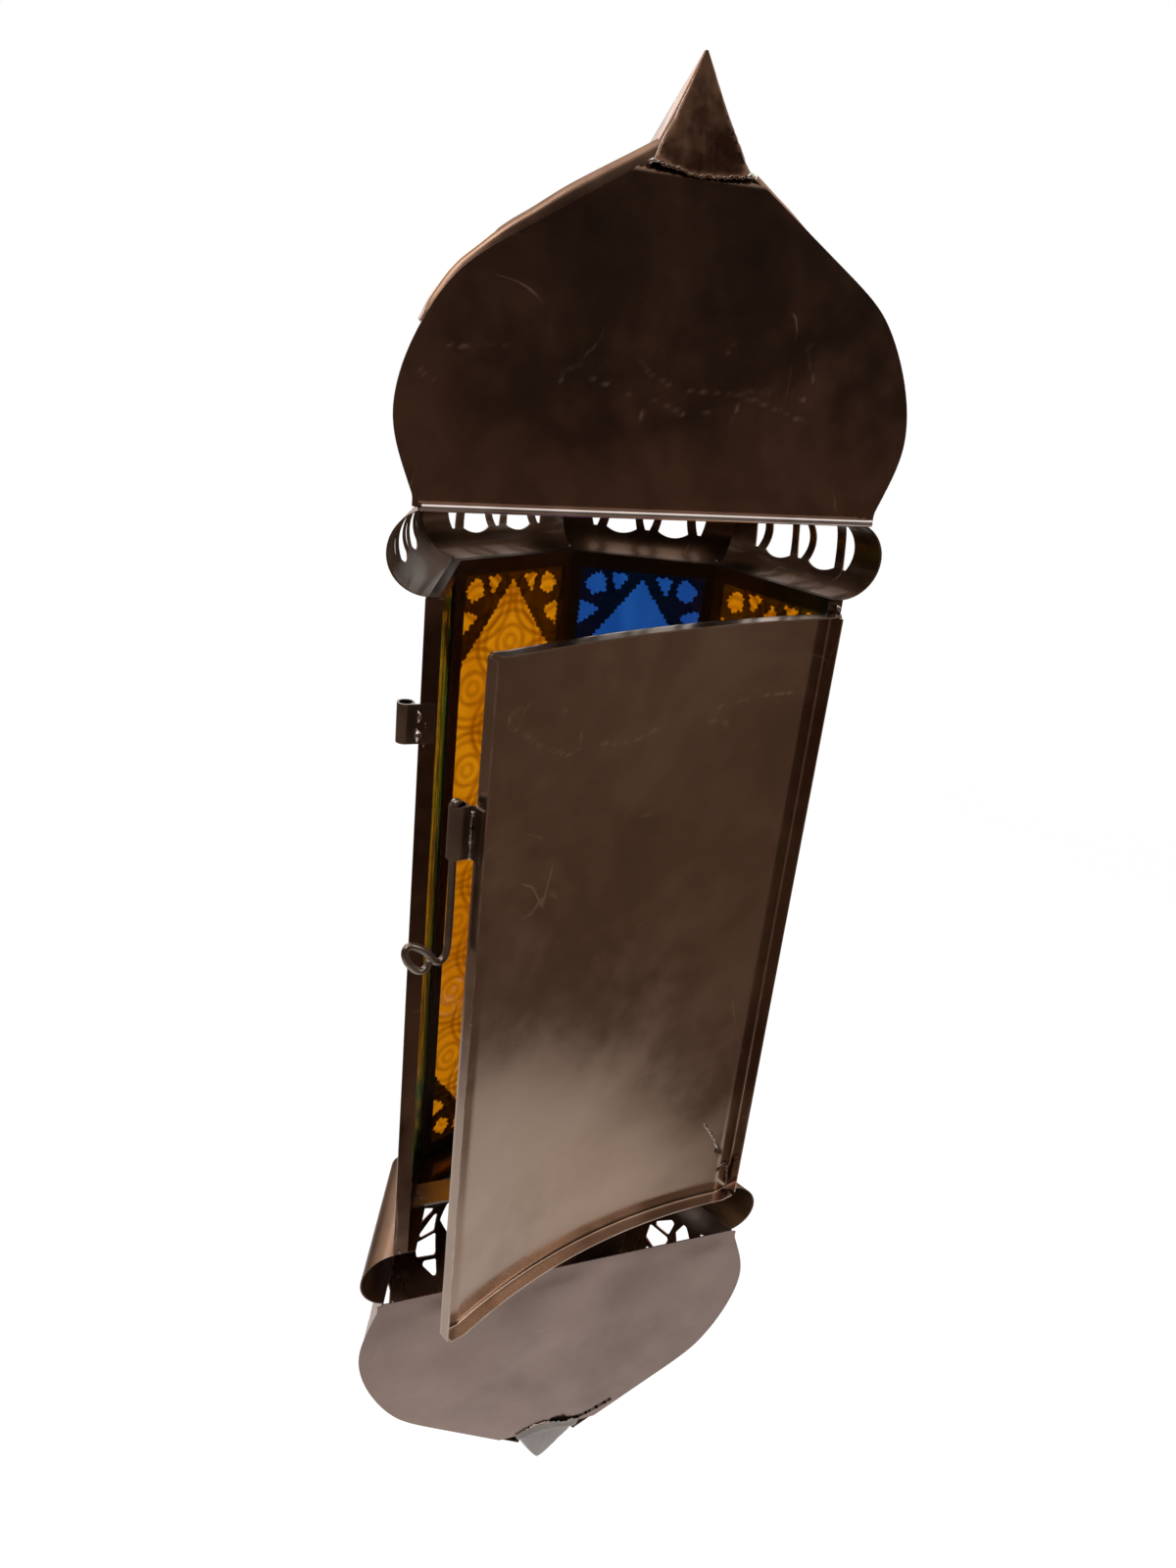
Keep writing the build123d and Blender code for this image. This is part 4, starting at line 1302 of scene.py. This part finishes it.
@dataclass
class DomeFlare:
    """The edge of a dome's sheet that stands out behind the plate's slope."""

    name: str
    side: float
    reaches: Sequence[Flat]
    pitch: float = 1.5
    skin: float = 0.6

    def reach(self, height: float) -> float:
        """Say how far the edge stands out at a height."""
        for (low, first), (high, second) in zip(self.reaches, self.reaches[1:]):
            if low <= height <= high:
                return first + (second - first) * smooth(low, high, height)
        return self.reaches[-1][1]

    def build(self, plate: OnionPlate, nodes: dict[str, bpy.types.Object]) -> bpy.types.Object:
        """Build the flare beside a plate.

        Args:
            plate: The plate it stands behind.
            nodes: The frame's nodes, for the plate's outline.

        Returns:
            The flare.
        """
        outline = plate.outline(nodes)
        points: list[Vector] = []
        heights = steps(self.reaches[0][0], self.reaches[-1][0], self.pitch)
        for height in heights:
            slope = plate.half_at(outline, height + 1.0) - plate.half_at(outline, height - 1.0)
            length = math.hypot(2.0, slope)
            out, up = 2.0 / length, -slope / length
            for part, fixed, y in FLARE_SECTION:
                push = part * self.reach(height) + fixed
                x = plate.half_at(outline, height) + out * push
                points.append(row(self.side * x, y, plate.edge + height + up * push))
        faces = grid_faces(len(heights), len(FLARE_SECTION))
        if self.side < 0:
            faces = [tuple(reversed(face)) for face in faces]
        piece = mesh_object(self.name, points, faces)
        thicken(piece, self.skin * MM)
        shade_by_angle(piece, 50)
        # The flare takes the dome's paler brown, a painted sheen on this upward-facing edge.
        return hang(piece, Body.LANTERN, "patinated_sheet", "dome")


@dataclass
class LatchBolt:
    """The latch's wire, with a domed head above and a finger loop below."""

    x: float = 105.6
    y: float = -3.0
    radius: float = 1.6
    head: Sequence[Flat] = (
        (-65.05, 0.35), (-65.2, 1.0), (-65.5, 1.55), (-66.0, 2.0), (-66.7, 2.2), (-67.3, 2.18),
        (-67.55, 1.9),
    )
    wire: Sequence[Flat] = (
        (0.0, -68.2), (0.0, -80.0), (-0.1, -92.0), (-0.3, -104.0), (-0.4, -117.0), (-0.3, -127.0),
        (-0.2, -131.6), (0.9, -136.0), (3.4, -137.8), (6.2, -136.2), (8.8, -132.4), (13.2, -128.6),
        (17.6, -126.4), (19.4, -127.4), (19.7, -130.2), (18.2, -134.0), (14.8, -138.0),
        (11.6, -139.8), (9.2, -138.6), (7.6, -135.4),
    )

    def build(self) -> bpy.types.Object:
        """Build the bolt in place of its node."""
        line = [door_row(self.x, self.y, z) for z, _ in self.head]
        radii = [radius * MM for _, radius in self.head]
        run = through([door_row(self.x + dx, self.y, z) for dx, z in self.wire], 0.9 * MM)
        line += run
        for point in run:
            place = point / MM
            radii.append(self.radius * (1 + 0.05 * noise.noise(place / 4)) * MM * 0.98)
        radii[-1] *= 0.7
        piece = swept("bolt_wire", line, radii, 18)
        return hang(piece, Body.BOLT, "steel_wire", "wire", "latch_bolt")


@dataclass
class Studio:
    """The floor, the light and the camera."""

    floor_z: float = -0.9
    floor_size: float = 14.0
    # The pool is a patch of painted light that reflections see on the floor, with painted dim floor
    # around it.
    painted_pool_centre: Colour = (0.0, -0.19, 0.0)
    painted_pool_half: Colour = (0.49, 0.39, 0.0)
    painted_pool_round: float = 0.25
    painted_pool_blur: float = 0.06
    white_from: float = 0.9
    white_to: float = 2.4
    painted_pool_light: Colour = (0.85, 0.83, 0.82)
    painted_dim_floor: Colour = (0.15, 0.102, 0.074)
    dim_sky: Colour = (0.06, 0.045, 0.036)
    bright_sky: Colour = (1.1, 1.06, 1.02)
    lens: float = 27.07
    sensor: float = 36.0
    eye: Colour = (0.2184, 0.4598, 0.0479)
    right: Colour = (-0.92911, 0.35573, 0.10108)
    down: Colour = (0.05071, 0.3933, -0.91801)
    ahead: Colour = (-0.36632, -0.84781, -0.38345)

    def floor(self) -> None:
        """Lay the pale floor; in reflections it shows a painted pool of light near the lantern that
        fades to a painted dim floor.
        """
        half = self.floor_size / 2
        around = ((-half, -half), (half, -half), (half, half), (-half, half))
        corners = [Vector((x, y, self.floor_z)) for x, y in around]
        floor = mesh_object("floor", corners, [(0, 1, 2, 3)])
        material, graph, shader = new_material("pale_floor")
        shader.inputs["Base Color"].default_value = (0.9, 0.9, 0.9, 1.0)
        shader.inputs["Roughness"].default_value = 0.9
        shader.inputs["Specular IOR Level"].default_value = 0.0
        geometry = graph.add("ShaderNodeNewGeometry")
        flat = graph.vector("MULTIPLY", geometry.outputs["Position"], (1.0, 1.0, 0.0))
        away = graph.vector("LENGTH", flat)
        # Mirror rays see an emission here: a painted pool of light, rounded and blurred at its edge, on
        # a painted dim floor.
        apart = graph.vector("ABSOLUTE", graph.vector("SUBTRACT", flat, self.painted_pool_centre))
        beyond = graph.vector("SUBTRACT", apart, self.painted_pool_half)
        edge = graph.vector("LENGTH", graph.vector("MAXIMUM", beyond, (0.0, 0.0, 0.0)))
        inner, outer = self.painted_pool_round - self.painted_pool_blur, self.painted_pool_round + self.painted_pool_blur
        pool = graph.span(edge, inner, outer, 1.0, 0.0)
        painted_reflection_glow = graph.add("ShaderNodeEmission")
        graph.put(painted_reflection_glow.inputs["Color"], graph.blend(pool, self.painted_dim_floor, self.painted_pool_light))
        white = graph.add("ShaderNodeEmission")
        paths = graph.add("ShaderNodeLightPath")
        seen = graph.mirror_rays(paths)
        distant = graph.span(away, self.white_from, self.white_to)
        far = graph.number("MAXIMUM", distant, paths.outputs["Is Transmission Ray"])
        near = graph.mix(far, shader.outputs[0], white.outputs[0])
        mixed = graph.mix(seen, near, painted_reflection_glow.outputs[0])
        output = next(node for node in graph.tree.nodes if node.type == "OUTPUT_MATERIAL")
        graph.put(output.inputs["Surface"], mixed)
        floor.data.materials.append(material)

    def sky(self) -> None:
        """Light everything from a white studio that is dim around the horizon in reflections."""
        world = bpy.data.worlds.new("studio")
        world.use_nodes = True
        bpy.context.scene.world = world
        graph = Graph(world.node_tree)
        white = world.node_tree.nodes["Background"]
        white.inputs["Color"].default_value = (1.0, 1.0, 1.0, 1.0)
        white.inputs["Strength"].default_value = 1.0
        split = graph.add("ShaderNodeSeparateXYZ")
        graph.put(split.inputs[0], graph.add("ShaderNodeTexCoord").outputs["Generated"])
        front = graph.number("MULTIPLY", split.outputs["Y"], -0.5)
        above = graph.span(graph.number("ADD", split.outputs["Z"], front), 0.1, 0.72)
        room = graph.add("ShaderNodeBackground")
        graph.put(room.inputs["Color"], graph.blend(above, self.dim_sky, self.bright_sky))
        mirrored = graph.mirror_rays(graph.add("ShaderNodeLightPath"))
        mixed = graph.mix(mirrored, white.outputs[0], room.outputs[0])
        output = next(node for node in graph.tree.nodes if node.type == "OUTPUT_WORLD")
        graph.put(output.inputs["Surface"], mixed)

    def lamp(self, name: str, place: Colour, aim: Colour, size: Flat, power: float) -> None:
        """Hang one soft box.

        Args:
            name: The light's name.
            place: Where it hangs.
            aim: What it faces.
            size: Its width and height.
            power: Its power in watts.
        """
        light = bpy.data.lights.new(name, "AREA")
        light.shape = "RECTANGLE"
        light.size, light.size_y = size
        light.energy = power
        box = bpy.data.objects.new(name, light)
        bpy.context.scene.collection.objects.link(box)
        box.location = place
        box.rotation_euler = (Vector(aim) - Vector(place)).to_track_quat("-Z", "Y").to_euler()

    def camera(self) -> None:
        """Set the camera where the photograph was taken from."""
        data = bpy.data.cameras.new("camera")
        data.lens = self.lens
        data.sensor_width = self.sensor
        data.clip_start = 0.01
        camera = bpy.data.objects.new("camera", data)
        bpy.context.scene.collection.objects.link(camera)
        up = [-part for part in self.down]
        back = [-part for part in self.ahead]
        axes = Matrix((self.right, up, back)).transposed()
        camera.matrix_world = Matrix.Translation(self.eye) @ axes.to_4x4()
        bpy.context.scene.camera = camera

    def build(self) -> None:
        """Set up the floor, the light and the camera."""
        self.floor()
        self.sky()
        self.lamp("key_box", (0.9, 0.9, 1.3), (0.0, 0.0, -0.2), (0.9, 0.9), 9.0)
        self.lamp("side_box", (-1.3, 0.5, 0.3), (0.0, 0.0, -0.2), (0.3, 1.0), 4.0)
        self.lamp("front_box", (0.5, -1.6, 0.9), (0.0, 0.0, -0.2), (0.8, 0.8), 9.0)
        self.camera()
        view = bpy.context.scene.view_settings
        view.view_transform = "Standard"
        view.look = "None"
        view.exposure = 0.0


# Marks on the sheets, as lines across and up


DOOR_SCUFFS: Sequence[Sequence[Flat]] = (
    ((85.5, -31.1), (86.8, -36.5), (78.0, -41.5), (66.1, -49.6), (51.4, -55.8)),
    ((51.4, -55.8), (40.8, -53.5), (25.2, -55.0), (15.6, -56.5), (4.9, -53.6), (-4.7, -52.2)),
    ((72.2, -27.9), (77.7, -30.1), (84.1, -31.3)),
    ((56.7, -32.4), (56.0, -37.9), (53.1, -37.1)),
    ((-33.0, -46.9), (-48.8, -44.2), (-67.4, -42.7), (-76.9, -42.9)),
    ((-29.2, -52.5), (-40.2, -54.5), (-43.4, -60.8)),
)
PLATE_SCUFFS: Sequence[Sequence[Flat]] = (
    ((95.9, 96.8), (72.8, 98.9)),
    ((106.5, 88.6), (105.3, 85.6), (100.9, 83.9)),
    ((50.1, 83.7), (50.3, 91.8), (41.5, 94.6)),
    ((38.0, 90.0), (31.6, 87.7), (25.9, 87.0)),
    (
        (17.7, 97.5), (12.1, 93.0), (3.2, 89.2), (-9.5, 87.8), (-24.1, 88.2), (-35.4, 86.1),
        (-48.5, 82.8), (-62.9, 78.6),
    ),
    ((10.8, 83.4), (2.7, 81.3), (-5.0, 78.0)),
    ((-12.8, 79.4), (-20.0, 80.5)),
    ((-34.4, 83.9), (-29.6, 84.0), (-29.0, 79.3), (-26.9, 75.6)),
    ((-31.3, 89.8), (-47.2, 90.0)),
    ((-53.5, 90.2), (-64.1, 86.8)),
    ((-23.6, 107.3), (-21.0, 103.2)),
    ((-60.2, 109.7), (-58.5, 107.3), (-60.5, 101.2), (-63.7, 95.6)),
    ((13.9, 77.8), (13.4, 73.8)),
    ((21.9, 85.3), (20.4, 84.8)),
)


def seam_line(nodes: dict[str, bpy.types.Object], node: str, angle: float, lift: float) -> list[Vector]:
    """Trace the outer corner of a dome's sheet.

    Args:
        nodes: The frame's nodes.
        node: The sheet to trace.
        angle: The corner's direction in plan, in degrees.
        lift: How far outside the corner the line runs.

    Returns:
        Points from the dome's edge to its peak.
    """
    turn = math.radians(angle)
    heights: dict[float, float] = {}
    for vertex in nodes[node].data.vertices:
        x, y = vertex.co.x / MM, vertex.co.y / MM + WALL_Y
        if abs(-x * math.sin(turn) + y * math.cos(turn)) < 0.02:
            z = round(vertex.co.z / MM + ORIGIN_Z, 1)
            heights[z] = max(heights.get(z, 0.0), x * math.cos(turn) + y * math.sin(turn))
    return [
        row(math.cos(turn) * (out + lift), math.sin(turn) * (out + lift), z)
        for z, out in sorted(heights.items())
    ]


def solder_beads(
    upper: FinialCone, lower: FinialCone, door: DoorTray, nodes: dict[str, bpy.types.Object]
) -> list[SolderBead]:
    """List the runs and blobs of solder, and the two black lines of painted shade in the gaps.

    Args:
        upper: The upper finial, for its foot and seam.
        lower: The lower finial, for its foot.
        door: The door's sheet, for the runs at its lower corner.
        nodes: The frame's nodes, for the domes' corners.

    Returns:
        The beads, not yet built.
    """

    def foot(cone: FinialCone, first: float, last: float) -> list[Vector]:
        """Trace a cone's foot between two directions in degrees."""
        return cone.foot_line(math.radians(first), math.radians(last))

    def spots(*places: Colour) -> list[Vector]:
        """Place points of the fixed lantern."""
        return [row(*place) for place in places]

    def door_spots(*places: Colour) -> list[Vector]:
        """Place points of the door."""
        return [door_row(*place) for place in places]

    def sheet_spots(*places: Flat) -> list[Vector]:
        """Place points on the face of the door's sheet."""
        return [door.on_face(*place) for place in places]

    # The bright seam at 24 degrees is partly a real solder seam and partly a painted highlight line
    # down the cone.
    seam = upper.seam(math.radians(24), 0.0, 0.86)
    right_seam = upper.seam(math.radians(150), 0.06, 0.6)
    upper_foot = foot(upper, 28, 152)
    keeper_upper = spots((101.4, 0.9, -48.5), (100.6, 1.3, -51.5), (100.9, 1.0, -54.5))
    keeper_lower = spots((101.2, 1.2, -57.0), (100.8, 1.6, -60.0), (100.9, 1.0, -63.5))
    jamb = spots((97.8, 0.3, -53.0), (97.4, 0.35, -58.0), (97.9, 0.3, -66.0))
    sleeve = door_spots(
        (100.4, 1.3, -70.5), (100.6, 1.2, -78.0), (100.4, 1.3, -86.0), (100.3, 1.3, -91.5)
    )
    sleeve_top = door_spots((100.6, 0.9, -69.6), (99.4, 1.4, -72.6))
    tail = sheet_spots((-69.0, -293.0), (-77.0, -305.0), (-81.0, -313.5))
    blob = sheet_spots((-79.5, -309.5), (-81.8, -314.5), (-82.6, -320.0))
    corner_run = door_spots(
        (-83.0, 1.4, -331.0), (-86.0, 1.7, -327.0), (-90.0, 1.9, -328.0), (-91.8, 2.2, -335.0),
        (-92.0, 2.4, -343.0),
    )
    # A black bead along the lower plate's gap is painted shade.
    plate_gap_shade = spots(
        (-16.0, 1.2, -508.5), (-22.0, 1.2, -508.2), (-31.0, 1.2, -505.0), (-40.6, 1.2, -500.8)
    )
    hinge_top = spots((-96.5, 0.9, -2.0), (-98.0, 1.1, -5.5))
    on_door, dark = Body.DOOR, "dark_solder"
    beads = [
        SolderBead("solder_upper_seam", seam, 0.3, seed=3, swell=0.04, wander=0.0),
        SolderBead("solder_upper_seam_right", right_seam, 0.3, seed=4),
        SolderBead("solder_upper_foot", upper_foot, 0.7, seed=5, look="body", swell=0.6, wander=1.1),
        SolderBead("solder_upper_foot_latch", foot(upper, -20, 28), 0.8, seed=6),
        SolderBead("solder_upper_foot_hinge", foot(upper, 152, 200), 0.8, seed=7),
        SolderBead("solder_lower_foot", foot(lower, 35, 95), 0.6, seed=8, wander=0.5),
        SolderBead("solder_lip_latch", spots((99.5, 2.6, 36.4), (104.4, 3.0, 37.0)), 1.3, seed=9),
        SolderBead("solder_lip_hinge", spots((-97.0, 2.8, 36.2), (-104.2, 2.6, 36.8)), 1.4, seed=10),
        SolderBead("solder_keeper_upper", keeper_upper, 1.3, seed=11),
        SolderBead("solder_keeper_lower", keeper_lower, 1.5, seed=12),
        SolderBead("solder_jamb_latch", jamb, 0.42, seed=13),
        SolderBead("solder_sleeve", sleeve, 0.62, on_door, seed=14),
        SolderBead("solder_sleeve_top", sleeve_top, 1.1, on_door, seed=15),
        SolderBead("solder_door_tail", tail, 0.9, on_door, seed=41),
        SolderBead("solder_door_blob", blob, 1.9, on_door, seed=42, look=dark),
        SolderBead("solder_door_corner", corner_run, 1.0, on_door, seed=43, look=dark),
        SolderBead("solder_jamb_foot", spots((97.5, 0.6, -348.0), (96.4, 0.8, -350.0)), 1.0, seed=16),
        SolderBead("solder_jamb_hinge_top", hinge_top, 1.2, seed=17),
        SolderBead("gap_shade_lower", foot(lower, 97, 140), 0.55, seed=18, look="gap_shade"),
        SolderBead("gap_shade_plate", plate_gap_shade, 0.4, seed=19, look="gap_shade"),
    ]
    deep = APOTHEM - 1.2
    across = -deep * math.tan(HALF_BAY - 0.012)
    for bay in (0, 1, 2):
        for end, z in (("upper", -0.2), ("lower", -BODY_HEIGHT + 0.2)):
            place = bay_row(bay, deep, across, z)
            dab = [place, place + Vector((0.0, 0.0, 0.0022))]
            beads.append(SolderBead(f"solder_{end}_rim_{bay + 1}", dab, 1.5, seed=20 + bay))
    for side, dome in (("upper", "dome_gore"), ("lower", "bottom_gore")):
        for index, angle in ((1, -45.0), (2, -90.0), (3, -135.0)):
            line = seam_line(nodes, f"{dome}_{index}", angle, 0.1)
            line = line[:: max(1, len(line) // 14)]
            name = f"solder_{side}_dome_{index}"
            beads.append(SolderBead(name, line, 0.9, seed=30 + index, look=dark))
    return beads


def main() -> None:
    """Build the lantern's pieces in order and hang them on the frame."""
    logging.basicConfig(level=logging.INFO, format="%(name)s: %(message)s")
    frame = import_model()
    CarriedNodes().dress(frame["nodes"])
    upper_plate = OnionPlate(
        "upper_plate",
        "dome_back_plate",
        "plate",
        edge=CORNICE_TOP,
        upwards=True,
        seed=1.3,
        tuck=5.5,
        scuffs=PLATE_SCUFFS,
    )
    upper_plate.build(frame["nodes"])
    DomeFlare("dome_flare_latch", 1.0, LATCH_FLARE).build(upper_plate, frame["nodes"])
    DomeFlare("dome_flare_hinge", -1.0, HINGE_FLARE).build(upper_plate, frame["nodes"])
    OnionPlate(
        "lower_plate",
        "bottom_back_plate",
        "lower_plate",
        edge=-BODY_HEIGHT - CORNICE_DROP,
        upwards=False,
        seed=4.1,
        dent=0.9,
        lip=PLAIN_EDGE,
    ).build(frame["nodes"])
    door = DoorTray(scuffs=DOOR_SCUFFS)
    door.build()
    for bay in range(4):
        FretPanel(bay).build()
    GlassPane(0, "pane_green", "glass_green", "green", "green_glass", mottled_relief).build()
    amber = ("amber", "amber_glass", scroll_relief)
    GlassPane(1, "pane_amber_inner", "glass_amber_inner", *amber, pitch=1.2).build()
    GlassPane(2, "pane_blue", "glass_blue", "blue", "blue_glass", plain_relief, pitch=2.5).build()
    GlassPane(3, "pane_amber_outer", "glass_amber_outer", *amber, pitch=1.2).build()
    LatchBolt().build()
    upper = FinialCone(
        "upper_cone",
        "top_finial",
        "copper",
        foot=166.0,
        tip=208.6,
        radius=23.0,
        back=9.9,
        side_drop=1.0,
        foot_rise=4.0,
        seed=2.0,
    )
    upper.build()
    lower = FinialCone(
        "lower_cone",
        "bottom_finial",
        "grey",
        foot=-506.0,
        tip=-547.6,
        radius=22.0,
        back=10.2,
        side_drop=-5.0,
        bulge=0.85,
        foot_rise=5.0,
        lift=1.2,
        cover=0.16,
        seed=7.0,
    )
    lower.build()
    for bead in solder_beads(upper, lower, door, frame["nodes"]):
        bead.build()
    Studio().build()


if __name__ == "__main__":
    main()
